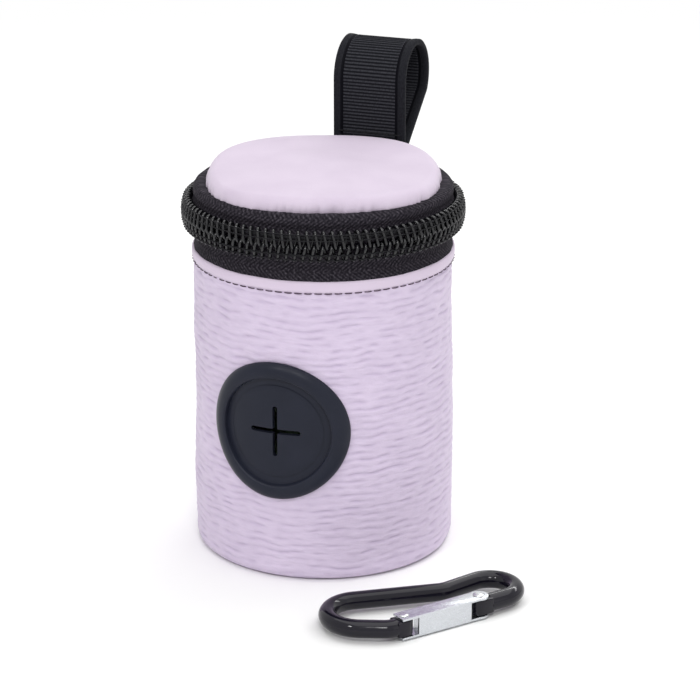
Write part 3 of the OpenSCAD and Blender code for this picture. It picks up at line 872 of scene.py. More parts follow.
@dataclass
class Pouch(Sewn):
    """The padded round body: its cover, base, rim strip, lining and rubber port."""

    flare: float = 0.4
    strip_h: float = 2.5
    foot_r: float = 2.6
    lining_r: float = 27.2
    floor_z: float = 2.8
    port_z: float = 36.5
    port_r: float = 16.4
    port_face_r: float = 12.8
    port_bore_r: float = 10.3
    port_neck_r: float = 11.7
    port_inner_r: float = 14.0
    slit: float = 12.0
    slit_w: float = 1.15
    rib: float = 1.75
    lining_t: float = 0.42
    stitches: int = 84
    stitch_share: float = 0.72
    stitch_r: float = 0.12
    columns: int = 330
    rows: int = 260

    @property
    def strip_low(self) -> float:
        """Height of the rim strip's lower edge."""
        return self.rim_z - self.strip_h - 0.25

    def wall_r(self, z: float) -> float:
        """Radius of the wall at a height."""
        return self.rim_r + self.flare * (self.rim_z - z) / self.rim_z

    def pucker(self, x: float, y: float, z: float) -> float:
        """Shapes the fabric's cross ribs.

        Args:
            x: Place of a point of the wall.
            y: Its place along Y.
            z: Its height.

        Returns:
            The ribs' height there, from 0 to about 1, also painted as groove shade.
        """
        row = z / self.rib + 0.6 * ripple(x / 14, y / 14, z / 9) \
            + 0.32 * ripple(x / 4.6, y / 4.6, z / 5)
        crease = round(row)
        depth = max(0.0, min(1.0, 0.5 + 1.1 * ripple(x / 3.0, y / 3.0, crease * 7.31)))
        groove = max(0.0, 1 - abs(row - crease) / 0.34) ** 1.3
        return (1 - groove * depth) * (0.85 + 0.2 * ripple(x / 2.4, y / 2.4, z / 0.8))

    def stand(self, point: Vector, pucker: float) -> float:
        """Works out how far the cover stands out from the plain wall.

        Args:
            point: A point of the plain wall.
            pucker: Height of its cross ribs.

        Returns:
            Millimetres outwards: ribs, slow swells, folds drawn to the port and the tucks
            under the rim strip.
        """
        x, y, z = point
        below = self.rim_z - self.strip_h - z
        near_port = math.hypot(x, z - self.port_z) if y < 0 else math.inf
        spoke = math.atan2(z - self.port_z, x)
        drawn = ripple(math.cos(spoke) * 4.5, math.sin(spoke) * 4.5, 3.3) \
            * step_up(self.port_r + 7, self.port_r + 0.8, near_port) \
            * step_up(self.port_r - 1.5, self.port_r + 0.8, near_port)
        quiet = step_up(0.2, 2.5, z) * step_up(0.0, 0.8, below + 0.2) \
            * (0.35 + 0.65 * step_up(self.port_r, self.port_r + 2.5, near_port))
        sway = 0.55 * ripple(x / 24, y / 24, z / 26 + 3.1) + 0.22 * ripple(x / 7, y / 7, z / 7)
        tuck = 0.35 * step_up(4.0, 0.0, below) * (0.5 + ripple(x / 2.2, y / 2.2, 5.5))
        return quiet * (0.5 * (pucker - 0.7) + sway) + 0.6 * (drawn - tuck)

    def cover(self) -> None:
        """Makes the puckered cover, from under the rim strip to the rounded foot."""
        top = self.rim_z - self.strip_h
        inner = self.lining_r + 0.1
        foot = (self.wall_r(self.foot_r) - self.foot_r, self.foot_r)
        line = [(self.rim_r - 0.9, top + 0.15), (self.rim_r - 0.35, top + 0.35)]
        for i in range(self.rows):
            z = top - (top - self.foot_r) * i / (self.rows - 1)
            line.append((self.wall_r(z), z))
        line += arc(foot, self.foot_r, 0, -80, 6)[1:]
        line += [(inner + 0.45, 0.9), (inner, self.floor_z + 0.1)]
        line += [(inner, self.floor_z + (top - self.floor_z) * t / 24) for t in range(1, 25)]
        bm = spun_outline(line, 0, 360, self.columns)
        self._pierce(bm, self.port_neck_r + 0.4)
        # Each point stores its rib height, which moves the cover and also darkens the grooves'
        # colour as painted shade
        shade_and_tone = bm.verts.layers.float.new("shade_and_tone")
        for v in bm.verts:
            outside = math.hypot(v.co.x, v.co.y) >= self.rim_r - 1.2
            v[shade_and_tone] = self.pucker(*v.co) if outside else 1.0
            if outside:
                v.co += outward(v.co) * self.stand(v.co, v[shade_and_tone])
        piece = new_piece("wall_cover", bm, self.finish.body, "pouch",
                          ["outer_wall", "wall_foam"])

    def _pierce(self, bm: Mesh, radius: float) -> None:
        """Cuts the port's hole through both faces of a wall and joins their edges.

        Args:
            bm: The wall's mesh.
            radius: Radius of the hole.
        """
        doomed = []
        for face in bm.faces:
            middle = face.calc_center_median()
            if middle.y < 0 and math.hypot(middle.x, middle.z - self.port_z) < radius:
                doomed.append(face)
        bmesh.ops.delete(bm, geom=doomed, context="FACES")
        bmesh.ops.bridge_loops(bm, edges=[e for e in bm.edges if e.is_boundary])
        bmesh.ops.recalc_face_normals(bm, faces=bm.faces)

    def base(self) -> None:
        """Makes the base panel, drawn in at its seam with the cover."""
        r = self.wall_r(self.foot_r) - self.foot_r + 0.6
        line = [(0.0, 0.25), (r * 0.5, 0.16), (r - 3, 0.04), (r - 1.2, 0.0),
                (r - 0.3, 0.18), (r, 0.6), (r - 0.2, 1.4)]
        bm = spun_line(smooth_line(line, 0.6), 180)
        # The base stores a streaky random value that the fabric's colour reads, darker where it is
        # low
        shade_and_tone = bm.verts.layers.float.new("shade_and_tone")
        for v in bm.verts:
            x, y, _ = v.co
            v[shade_and_tone] = 0.5 + 0.5 * ripple(x / 1.6, y / 5, 2.2)
            if 1 < math.hypot(x, y) < r - 1:
                v.co.z += 0.12 * abs(ripple(x / 5, y / 5, 9.0))
        bmesh.ops.contextual_create(bm, geom=[e for e in bm.edges if e.is_boundary])
        bmesh.ops.recalc_face_normals(bm, faces=bm.faces)
        piece = new_piece("base_cover", bm, self.finish.body, "pouch",
                          ["base_panel", "base_foam"])

    def rim_strip(self) -> None:
        """Makes the smooth strip over the rim."""
        r, low, high = self.rim_r, self.strip_low, self.rim_z
        outline = [(r - 0.3, low + 0.3), (r + 0.05, low), (r + 0.32, low + 0.35),
                   (r + 0.45, low + 1.2), (r + 0.36, high - 0.5), (r + 0.1, high - 0.08),
                   (r - 0.35, high)]
        bm = spun_outline(smooth_line(outline, 0.3) + [(r - 0.4, high - 1)], 0, 360, 360)
        for v in bm.verts:
            x, y, z = v.co
            share = step_up(high - 0.6, low + 0.2, z)
            v.co += outward(v.co) * (0.10 * ripple(x / 6, y / 6, z / 3)
                                     - 0.16 * share * abs(ripple(x / 1.7, y / 1.7, 1.3)))
            v.co.z += 0.10 * ripple(x / 9, y / 9, 4.4)
        new_piece("rim_strip", bm, self.finish.smooth, "pouch", ["rim_band"])

    def rim_stitches(self) -> None:
        """Makes dark stitches along the rim strip's lower edge, partly painted shade of needle
        puckers.
        """
        step = TAU / self.stitches
        lines = []
        for i in range(self.stitches):
            line = []
            for t in (0.0, 0.2, 0.5, 0.8, 1.0):
                a = step * (i + self.stitch_share * t)
                r = self.wall_r(self.strip_low) + 0.10 + 0.22 * math.sin(math.pi * t)
                z = self.strip_low - 0.05 + 0.08 * ripple(math.cos(a) * 4, math.sin(a) * 4, 2.0)
                line.append(Vector((r * math.cos(a), r * math.sin(a), z)))
            lines.append(line)
        new_piece("rim_stitches", tube("rim_stitches", lines, self.stitch_r, 6),
                  self.finish.seam_thread, "pouch")

    def lining(self) -> None:
        """Makes the lining cup, turned over the padding at the mouth."""
        inner, low, high = self.lining_r - 0.5, self.floor_z + 0.5, self.rim_z - 1.0
        line = [(0.0, low), (inner - 4, low), (inner - 1.2, low + 0.1), (inner, low + 1.4)]
        line += [(inner, low + 1.4 + (high - low - 2.2) * t / 24) for t in range(1, 25)]
        line += [(inner + 0.3, high + 0.05), (inner + 1.0, high + 0.25),
                 (inner + 1.9, high - 0.1), (inner + 2.2, high - 1.5)]
        bm = spun_line(offset_outline(line, -self.lining_t), 200)
        self._pierce(bm, self.port_neck_r)
        for v in bm.verts:
            x, y, z = v.co
            at_port = y < 0 and math.hypot(x, z - self.port_z) < self.port_inner_r + 1
            if low + 2 < z < high - 1 and not at_port:
                v.co += outward(v.co) * 0.16 * (ripple(x / 6, y / 6, z / 22) - 0.6)
        new_piece("lining_cup", bm, self.finish.lining, "pouch", ["lining", "lining_floor"])

    def port(self) -> None:
        """Makes the rubber port with its raised rim, sunk face, bore and cross slit."""
        r, face = self.port_r, self.port_face_r
        neck, bore, back = self.port_neck_r, self.port_bore_r, self.port_inner_r
        front = [(0.0, 0.78), (face - 2.7, 0.80), (face - 2.2, 0.55), (face - 1.6, 0.50),
                 (face - 0.7, 0.62), (face - 0.15, 0.70), (face + 0.02, 1.3),
                 (face + 0.22, 1.80), (face + 0.7, 2.02), (face + 1.9, 1.95),
                 (r - 0.85, 1.62), (r - 0.25, 1.1), (r, 0.55), (r - 0.1, 0.12),
                 (r - 0.5, -0.12)]
        rear = [(neck, -0.1), (neck, -3.5), (back, -3.52), (back, -4.1), (back - 0.2, -4.2),
                (bore, -4.2), (bore, -0.9), (bore - 0.4, -0.5), (0.0, -0.5)]
        disc = new_piece("port", spun_line(smooth_line(front, 0.35) + rear, 120),
                         self.finish.rubber, None)
        cutter = self._slit_cutter()
        cut = disc.modifiers.new("slit", "BOOLEAN")
        cut.operation, cut.solver, cut.object = "DIFFERENCE", "EXACT", cutter
        bm = evaluated(disc)
        bpy.data.objects.remove(cutter)
        bmesh.ops.scale(bm, vec=(1 / MM,) * 3, verts=bm.verts)
        for v in bm.verts:
            x, up, out = v.co
            z = self.port_z + up
            v.co = (x, -math.sqrt((self.wall_r(z) + out) ** 2 - x * x), z)
        bmesh.ops.recalc_face_normals(bm, faces=bm.faces)
        new_piece("port", bm, self.finish.rubber, "pouch", ["port_grommet"],
                  SMOOTH_METAL)

    def _slit_cutter(self) -> bpy.types.Object:
        """Makes the cross that cuts the port's slit.

        Returns:
            A passing object.
        """
        half, run, depth = self.slit_w / 2, (self.slit - self.slit_w) / 2, 4.0
        outline = []
        for side, middle in enumerate(((run, 0), (0, run), (-run, 0), (0, -run))):
            corner = math.radians(45 + 90 * side)
            outline += arc(middle, half, 90 * side - 90, 90 * side + 90, 8)
            outline.append((math.copysign(half, math.cos(corner)),
                            math.copysign(half, math.sin(corner))))
        return new_piece("slit_cutter", extruded(outline, depth, -depth / 2),
                         self.finish.rubber, None)

    def build(self) -> None:
        """Makes every piece of the body."""
        self.cover()
        self.base()
        self.rim_strip()
        self.rim_stitches()
        self.lining()
        self.port()


# The zipper


class Row(Enum):
    """The two rows of coil, above and below the centre line."""

    UPPER = 1
    LOWER = -1


def mirrored(angle: float) -> float:
    """Mirrors an angle of the ring across the back, which lies at 90 degrees."""
    return 540 - angle


def thickened(line: Profile, thickness: float) -> list[tuple[float, float]]:
    """Gives a line a thickness, half of it on each side.

    Args:
        line: The middle line's points.
        thickness: The whole thickness.

    Returns:
        A closed outline.
    """
    middle = list(line)
    half = offset_outline(middle, thickness / 2)[len(middle):][::-1]
    shifts = [(h[0] - m[0], h[1] - m[1]) for h, m in zip(half, middle)]
    return [(p[0] - d[0], p[1] - d[1])
            for p, d in zip(offset_outline(middle, thickness), shifts + shifts[::-1])]


@dataclass
class Zipper(Sewn):
    """The coil chain with its tapes, cords, threads, stops and slider."""

    chain_r: float = 31.9
    tilt: float = 15.0
    pitch: float = 1.9
    wire: float = 0.68
    half_t: float = 0.71
    run: float = 2.3
    head_v: float = 0.5
    tape_u: float = -1.4
    tape_t: float = 0.6
    coil_start: float = 113.0
    lid_start: float = 144.5
    tape_start: float = 110.4
    turns: int = 92
    fixed_turns: int = 9
    bend_steps: int = 8
    run_steps: int = 3
    thread_rows: tuple[float, float] = (1.45, 2.75)
    thread_r: float = 0.11
    cord_r: float = 0.3

    @property
    def turn_a(self) -> float:
        """Angle of one turn of coil, in degrees."""
        return math.degrees(self.pitch / self.chain_r)

    def place(self, v: float, u: float, row: Row) -> tuple[float, float]:
        """Radius and height of a point of a row: v along it, u out of it."""
        c, s = math.cos(math.radians(self.tilt)), math.sin(math.radians(self.tilt))
        return (self.chain_r - v * s + u * c, self.chain_z + row.value * (v * c + u * s))

    def point(self, v: float, u: float, angle: float, row: Row) -> Vector:
        """Gives a point of a row.

        Args:
            v: Place along the row's width, from the chain's middle.
            u: Place out of the row.
            angle: Angle round the chain, in degrees.
            row: Which row it is.

        Returns:
            The point in space.
        """
        r, z = self.place(v, u, row)
        a = math.radians(angle)
        return Vector((r * math.cos(a), r * math.sin(a), z))

    def coil_line(self, start: float, turns: int, row: Row) -> list[Vector]:
        """Runs the centre line of a row of coil.

        Args:
            start: Its first angle, in degrees.
            turns: Its number of turns.
            row: Which row it is.

        Returns:
            The line's points, the same number in each turn.
        """
        length = TAU * self.half_t + 2 * self.run
        bend, straight = math.pi * self.half_t / length, self.run / length
        turn_line = []
        for side in (0, 1):
            share = side * (bend + straight)
            for i in range(self.bend_steps):
                t = i / self.bend_steps
                a = math.pi * (side + t)
                turn_line.append((self.head_v + self.run * side - self.half_t * math.sin(a),
                                  self.half_t * math.cos(a), share + bend * t))
            for i in range(self.run_steps):
                t = i / self.run_steps
                turn_line.append((self.head_v + self.run * abs(side - t),
                                  self.half_t * (2 * side - 1), share + bend + straight * t))
        line = [self.point(v, u, start + self.turn_a * (turn + share), row)
                for turn in range(turns) for v, u, share in turn_line]
        line.append(self.point(self.head_v, self.half_t, start + self.turn_a * turns, row))
        return line

    def head_swell(self, number: int) -> float:
        """Gives the wire's swell at a point's number: widest at the middle of each head."""
        from_head = number % (2 * (self.bend_steps + self.run_steps)) - self.bend_steps / 2
        return 1.0 + 0.22 * math.exp(-(from_head / 1.6) ** 2)

    def coil(self, name: str, spans: Sequence[tuple[float, int]], row: Row, body: str,
             node: str) -> None:
        """Makes a row of coil as unbroken wires that swell at their heads.

        Args:
            name: The piece's name.
            spans: Start angle and number of turns of each wire.
            row: Which row it is.
            body: The body it rides on.
            node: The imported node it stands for.
        """
        lines = [self.coil_line(start, turns, row) for start, turns in spans]
        wires = tube(name, lines, self.wire / 2, 8, self.head_swell)
        new_piece(name, wires, self.finish.coil, body, [node], SMOOTH_WIRE)

    def threads(self, name: str, start: float, turns: int, row: Row, body: str) -> None:
        """Makes the two lines of sewing thread that tie a coil to its tape.

        Args:
            name: The piece's name.
            start: First angle of its coil, in degrees.
            turns: Number of turns that it ties.
            row: Which row it is.
            body: The body it rides on.
        """
        lines = []
        for v in self.thread_rows:
            line = []
            for i in range(turns * 4 + 1):
                dip = (0.0, -0.34, 0.0, 0.12)[i % 4]
                slant = 0.05 - 0.35 * (v - sum(self.thread_rows) / 2) / self.run
                line.append(self.point(v, self.half_t + self.wire / 2 + dip,
                                       start + self.turn_a * (i / 4 + slant), row))
            lines.append(line)
        new_piece(name, tube(name, lines, self.thread_r, 6), self.finish.thread, body, (),
                  SMOOTH_WIRE)

    def core(self, name: str, start: float, row: Row, body: str, node: str) -> None:
        """Makes the cord that runs inside a row of coil.

        Args:
            name: The piece's name.
            start: Its first angle; the last mirrors it across the back.
            row: Which row it is.
            body: The body it rides on.
            node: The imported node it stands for.
        """
        count, end = 260, mirrored(start)
        line = [self.point(self.head_v + self.run * 0.7, 0, start + (end - start) * i / count,
                           row) for i in range(count + 1)]
        new_piece(name, tube(name, [line], self.cord_r), self.finish.thread, body, [node],
                  SMOOTH_WIRE)

    def lower_tape(self) -> None:
        """Makes the tape from the rim up behind the lower coil."""
        line = [(self.rim_r - self.tuck_in[0], self.rim_z - self.tuck_in[1]),
                (self.rim_r - 0.45, self.rim_z - 1.5), (self.rim_r - 0.3, self.rim_z)]
        line += [self.place(v, self.tape_u, Row.LOWER) for v in (5.9, 4.6, 3.2, 0.75)]
        self._tape("lower_tape", smooth_line(line, 0.5), self.tape_start, "pouch",
                   ["lower_zip_tape"])

    def upper_tape(self) -> None:
        """Makes the lid's tape, rolled over from behind the coil to the lid's seam."""
        over = arc(self.bulge_at, self.bulge_r - self.tape_t / 2, -12, 90, 12)
        over += [(self.seam_r + 0.6, self.seam_z - 0.35), (self.seam_r - 0.5, self.seam_z - 0.45)]
        back = [self.place(v, self.tape_u, Row.UPPER) for v in (0.75, 2.4, 4.2)]
        self._tape("upper_tape", smooth_line(back + over, 0.4), self.lid_start, "lid",
                   ["upper_zip_tape"])
        self._tape("upper_tape_back", smooth_line(over, 0.4), self.tape_start, "lid", (),
                   self.lid_start + 0.5)

    def fixed_tapes(self) -> None:
        """Makes the short upper tapes that stay on the pouch beside the hinge."""
        line = smooth_line([self.place(v, self.tape_u, Row.UPPER) for v in (0.75, 2.4, 4.1)], 0.5)
        self._tape("fixed_tapes", line, self.tape_start, "pouch", ["upper_tape_ends"],
                   self.lid_start - 0.4)

    def _tape(self, name: str, line: Profile, start: float, body: str, nodes: Sequence[str],
              stop: Optional[float] = None) -> None:
        """Makes a tape from a line at its middle, on one long arc or on two mirrored ones.

        Args:
            name: The piece's name.
            line: Its middle line, as (radius, height) points.
            start: First angle in degrees; the last mirrors it across the back.
            body: The body it rides on.
            nodes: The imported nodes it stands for.
            stop: Where the first of two short arcs ends, or None for one long one.
        """
        outline = thickened(line, self.tape_t * 0.86)
        spans = [(start, mirrored(start))]
        if stop is not None:
            spans = [(start, stop), (mirrored(stop), mirrored(start))]
        bm = joined(*[spun_outline(outline, a, b, max(6, round((b - a) / 1.2)))
                      for a, b in spans])
        for v in bm.verts:
            x, y, z = v.co
            loose = max(0.0, min(1.0, abs(z - self.chain_z) - 4.2))
            v.co += outward(v.co) * loose * 0.16 * ripple(x / 4, y / 4, z / 3)
            v.co.z += loose * 0.08 * ripple(x / 3, y / 3, 8.0)
        wrap_uv(bm, self.rim_r)
        new_piece(name, bm, self.finish.tape, body, nodes, SMOOTH_CLOTH)

    def slider(self) -> None:
        """Makes the parked slider, its pull and the chain's end stops."""
        for name, node, body, width in (("slider", "slider_body", "slider", 0.22),
                                        ("pull", "pull_tab", "pull", 0.18),
                                        ("stops", "end_stops", "pouch", 0.25)):
            new_piece(name, softened_copy(node, width), self.finish.slider, body, [node],
                      SMOOTH_METAL)

    def build(self) -> None:
        """Makes every piece of the zipper."""
        first = self.coil_start + self.turn_a * 0.5
        lid_first = first + self.turn_a * self.fixed_turns
        lid_turns = self.turns - 1 - 2 * self.fixed_turns
        last = first + self.turn_a * (self.turns - self.fixed_turns)
        stub = self.fixed_turns - 1
        self.lower_tape()
        self.upper_tape()
        self.fixed_tapes()
        self.coil("lower_coil", [(self.coil_start, self.turns)], Row.LOWER, "pouch",
                  "lower_zip_coil")
        self.coil("upper_coil", [(lid_first, lid_turns)], Row.UPPER, "lid", "upper_zip_coil")
        self.coil("fixed_coils", [(first, stub), (last, stub)], Row.UPPER, "pouch",
                  "upper_coil_ends")
        self.threads("lower_threads", self.coil_start, self.turns, Row.LOWER, "pouch")
        self.threads("upper_threads", lid_first, lid_turns, Row.UPPER, "lid")
        self.threads("fixed_threads_left", first, stub, Row.UPPER, "pouch")
        self.threads("fixed_threads_right", last, stub, Row.UPPER, "pouch")
        self.core("lower_cord", self.coil_start, Row.LOWER, "pouch", "lower_core_cord")
        self.core("upper_cord", self.lid_start, Row.UPPER, "lid", "upper_core_cord")
        self.slider()


# The lid


def place_across(vert: bmesh.types.BMVert) -> float:
    """Place of a point of the webbing across its width."""
    return vert.co.x


@dataclass
class Lid(Sewn):
    """The puffed lid panel, its lining, the back hinge fabric and the webbing loop."""

    crown_z: float = 91.2
    edge_r: float = 2.8
    dome: float = 0.9
    squareness: float = 0.8
    hinge_y: float = 31.054
    hinge_half: float = 20.7
    hinge_t: float = 0.7
    fold: float = 1.6
    webbing_w: float = 18.0
    webbing_t: float = 1.5
    groove_at: float = 2.25
    groove_w: float = 0.35
    rib: float = 0.8
    loop_r: float = 9.2
    loop_at: tuple[float, float] = (39.454, 103.0)
    loop_foot: tuple[float, float] = (31.754, 88.4)

    def top(self) -> None:
        """Makes the puffed top, gathered along its seam."""
        edge = (self.seam_r + 0.5 - self.edge_r, self.crown_z - self.dome - self.edge_r)
        reach = edge[0] + self.edge_r
        line = [(0.0, self.seam_z - 0.8), (20.0, self.seam_z - 0.8),
                (reach - 1.3, self.seam_z - 0.75), (reach - 0.5, self.seam_z - 0.35)]
        line += arc(edge, self.edge_r, -8, 84, 14)
        side_r, side_z = line[-1]
        for i in range(1, 40):
            r = side_r * (1 - i / 40)
            line.append((r, self.crown_z - (self.crown_z - side_z) * (r / side_r) ** 2.6))
        line.append((0.0, self.crown_z))
        bm = spun_line(line, 360)
        for v in bm.verts:
            if math.hypot(v.co.x, v.co.y) > 0.01:
                out, up = self.puff(v.co)
                v.co += outward(v.co) * out
                v.co.z += up
        piece = new_piece("lid_cover", bm, self.finish.lid, "lid", ["lid_top", "lid_foam"])

    def puff(self, point: Vector) -> tuple[float, float]:
        """Shapes the lid's softly squared outline, its gathers and its swells.

        Args:
            point: A point of the plain round top.

        Returns:
            How far it moves outwards, and how far up.
        """
        x, y, z = point
        reach, turn = math.hypot(x, y), math.atan2(y, x)
        c, s = math.cos(turn), math.sin(turn)
        square = 0.35 - self.squareness * math.cos(4 * turn - 1.42)
        low = step_up(self.crown_z - 1.2, self.seam_z - 0.2, z)
        gather = abs(ripple(c * 15, s * 15, 6.0))
        fine = ripple(c * 26, s * 26, 2.0)
        out = square * step_up(10, 26, reach) - low * (0.9 * gather + 0.3 * fine) \
            + 0.3 * ripple(x / 11, y / 11, 0.5) * step_up(12, 26, reach)
        to_back = step_up(0.1, 0.8, math.cos(turn - 1.93))
        up = 0.35 * ripple(x / 13, y / 13, 7.7) * step_up(27, 18, reach) - 0.25 * low * gather \
            + 0.9 * to_back * step_up(12, 24, reach) * (1 - low)
        return out, up

    def lining(self) -> None:
        """Makes the lid's lining, a shallow tray under the padding."""
        r, z = self.bulge_at[0] - 0.3, self.seam_z - 1.8
        line = [(0.0, z + 0.25), (r * 0.6, z + 0.12), (r - 2, z), (r - 0.5, z - 0.1),
                (r - 0.15, z - 0.7), (r + 0.05, z - 0.6), (r + 0.05, z + 0.3), (r - 0.5, z + 0.5),
                (0.0, z + 0.6)]
        new_piece("lid_lining_panel", spun_line(line, 160), self.finish.lining, "lid",
                  ["lid_lining"])

    def hinge(self) -> None:
        """Makes the back fabric, one strip that runs between the pouch and the lid."""
        outer = self.hinge_y - 0.4
        line = [(self.rim_r - self.tuck_in[0], self.rim_z - self.tuck_in[1]),
                (self.rim_r - 0.35, self.rim_z - 1.2), (self.rim_r - 0.2, self.rim_z),
                (outer - 0.15, self.rim_z + 4), (outer - 0.02, self.chain_z - 1.5),
                (outer, self.chain_z), (outer - 0.02, self.chain_z + 1.5)]
        line += arc(self.bulge_at, self.bulge_r - self.hinge_t / 2, 4, 90, 8)
        line += [(self.seam_r + 0.3, self.seam_z - 0.45)]
        line = smooth_line(line, 0.45)
        inside = offset_outline(line, -self.hinge_t / 2)[len(line):][::-1]
        bm = spun_outline(offset_outline(inside, self.hinge_t), 90 - self.hinge_half,
                          90 + self.hinge_half, 48)
        for v in bm.verts:
            v.co.y += 0.10 * ripple(v.co.x / 3, 1.0, v.co.z / 4)
        wrap_uv(bm, self.rim_r)
        piece = new_piece("hinge_fabric", bm, self.finish.tape, None, (), SMOOTH_CLOTH)
        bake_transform(piece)
        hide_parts("hinge_panel_lower", "hinge_panel_upper")

    def loop_line(self) -> list[tuple[float, float]]:
        """Runs the line at the middle of the webbing.

        Returns:
            Its (y, z) points, from the foot up the outer side and down the inner one.
        """
        half = self.webbing_t / 2
        r = self.loop_r - half
        cy, cz = self.loop_at
        foot_y, foot_z = self.loop_foot
        over = arc((cy, cz), r, -32, 180, 44)
        tip = (foot_y + self.webbing_t * 1.05 - half, foot_z - 0.9)
        up = [(tip[0] + (over[0][0] - tip[0]) * t / 14, tip[1] + (over[0][1] - tip[1]) * t / 14)
              for t in range(14)]
        down = [(cy - r, cz - (cz - foot_z) * t / 14) for t in range(1, 14)]
        return up + over + down + [(foot_y - self.webbing_t + half, foot_z - 0.9)]

    def loop(self) -> None:
        """Makes the webbing loop with plain raised edges and a ribbed middle."""
        line = smooth_line(self.loop_line(), 0.2)
        half = self.webbing_w / 2
        border = [0.0, 0.25, 1.0, self.groove_at - self.groove_w, self.groove_at,
                  self.groove_at + self.groove_w]
        across = [d - half for d in border]
        across += [2.9 - half + (self.webbing_w - 5.8) * i / 8 for i in range(9)]
        across += [half - d for d in border[::-1]]
        bm = bmesh.new()
        rows = [[bm.verts.new((x, *line[0])) for x in across]]
        edges = [bm.edges.new(p) for p in zip(rows[0], rows[0][1:])]
        for before, after in zip(line, line[1:]):
            made = bmesh.ops.extrude_edge_only(bm, edges=edges)["geom"]
            verts = [g for g in made if isinstance(g, bmesh.types.BMVert)]
            edges = [g for g in made if isinstance(g, bmesh.types.BMEdge)
                     and all(v in verts for v in g.verts)]
            bmesh.ops.translate(bm, vec=(0, after[0] - before[0], after[1] - before[1]),
                                verts=verts)
            rows.append(sorted(verts, key=place_across))
        bmesh.ops.recalc_face_normals(bm, faces=bm.faces)
        self._fill_out(bm, rows, line)
        bmesh.ops.bridge_loops(bm, edges=[e for e in bm.edges if e.is_boundary])
        bmesh.ops.recalc_face_normals(bm, faces=bm.faces)
        new_piece("webbing_loop", bm, self.finish.webbing, "loop", ["hang_loop"],
                  SMOOTH_CLOTH)

    def _fill_out(self, bm: Mesh, rows: Sequence[Sequence[bmesh.types.BMVert]],
                  line: Profile) -> None:
        """Doubles the webbing's middle sheet and moves both faces out to their thickness.

        Args:
            bm: The middle sheet.
            rows: Its points, row by row along the line.
            line: The webbing's (y, z) points.
        """
        twin = bmesh.ops.duplicate(bm, geom=bm.verts[:] + bm.edges[:] + bm.faces[:])["vert_map"]
        place, run = {}, 0.0
        for k, row in enumerate(rows):
            run += math.dist(line[k - 1], line[k]) if k else 0.0
            (y0, z0), (y1, z1) = line[max(k - 1, 0)], line[min(k + 1, len(line) - 1)]
            out = Vector((0, z1 - z0, y0 - y1)).normalized()
            for v in row:
                home = v.co.copy()
                v.co = home + out * self.thick(home.x, run)
                twin[v].co = home - out * self.thick(home.x, run)
                place[v] = place[twin[v]] = (home.x, run)
        layer = bm.loops.layers.uv.verify()
        for face in bm.faces:
            for loop in face.loops:
                loop[layer].uv = place[loop.vert]

    def thick(self, x: float, run: float) -> float:
        """Gives half the webbing's thickness, with its rounded edges, grooves and ribs.

        Args:
            x: Place across the webbing.
            run: Place along it, in millimetres.

        Returns:
            Half of the thickness there.
        """
        side = self.webbing_w / 2 - abs(x)
        from_groove = side - self.groove_at
        half = self.webbing_t / 2 * (0.55 if side < 0.01 else 0.97)
        if abs(from_groove) < 0.1:
            return half - 0.42
        if abs(from_groove) < self.groove_w + 0.01:
            return half - 0.14
        if from_groove < 0:
            return half
        return half - 0.16 - 0.12 * (0.5 + 0.5 * math.cos(TAU * run / self.rib)) \
            - 0.03 * ripple(x * 2, run, 1.0)

    def bar_tacks(self) -> None:
        """Makes the stitches across the loop's sewn foot."""
        count, pitch, stitch_r = 11, 1.42, 0.12
        face = self.loop_foot[0] - self.webbing_t - 0.02
        lines = []
        for up in (1.2, 2.4):
            for i in range(count):
                x, z = -7.6 + i * pitch, self.loop_foot[1] + up
                lines.append([Vector((x + along, face + out, z)) for along, out in
                              ((0.0, 0.1), (0.3, -0.08), (0.9, -0.08), (1.2, 0.1))])
        new_piece("loop_stitches", tube("loop_stitches", lines, stitch_r, 6),
                  self.finish.thread, "loop")

    def build(self) -> None:
        """Makes every piece of the lid."""
        self.top()
        self.lining()
        self.hinge()
        self.loop()
        self.bar_tacks()


# The roll


@dataclass
class BagRoll(Dressed):
    """The roll of bags on its board core."""

    low: float = 3.6
    length: float = 60.0
    radius: float = 17.5
    core_r: float = 7.5
    core_t: float = 1.0

    def build(self) -> None:
        """Makes the roll and its core."""
        self.film()
        self.core()

    def film(self) -> None:
        """Makes the wound film, with its layers showing on both ends."""
        low, top, outer = self.low, self.low + self.length, self.radius
        line = [(self.core_r + 0.05, low + 0.2), (outer - 1.2, low), (outer - 0.3, low + 0.3),
                (outer, low + 1.2)]
        line += [(outer, low + 1.2 + (self.length - 2.4) * t / 30) for t in range(1, 31)]
        line += [(outer - 0.3, top - 0.3), (outer - 1.2, top)]
        line += [(outer - 1.2 - (outer - self.core_r - 1.3) * t / 14, top - 0.25 * (t % 2))
                 for t in range(1, 15)]
        bm = spun_outline(line, 0, 360, 144)
        for v in bm.verts:
            x, y, z = v.co
            if math.hypot(x, y) > outer - 1:
                v.co += outward(v.co) * 0.22 * (ripple(x / 5, y / 5, z / 18) - 0.6)
        new_piece("film_roll", bm, self.finish.film, "roll", ["bag_roll"])

    def core(self) -> None:
        """Makes the board tube, with its edges broken."""
        low, top, edge = self.low, self.low + self.length, 0.2
        inner, outer = self.core_r - self.core_t, self.core_r
        wall = [(inner, low + edge), (inner + edge, low), (outer - edge, low),
                (outer, low + edge), (outer, top - edge), (outer - edge, top),
                (inner + edge, top), (inner, top - edge)]
        new_piece("board_core", spun_outline(wall, 0, 360, 96), self.finish.board, "roll",
                  ["roll_core"])


# The carabiner


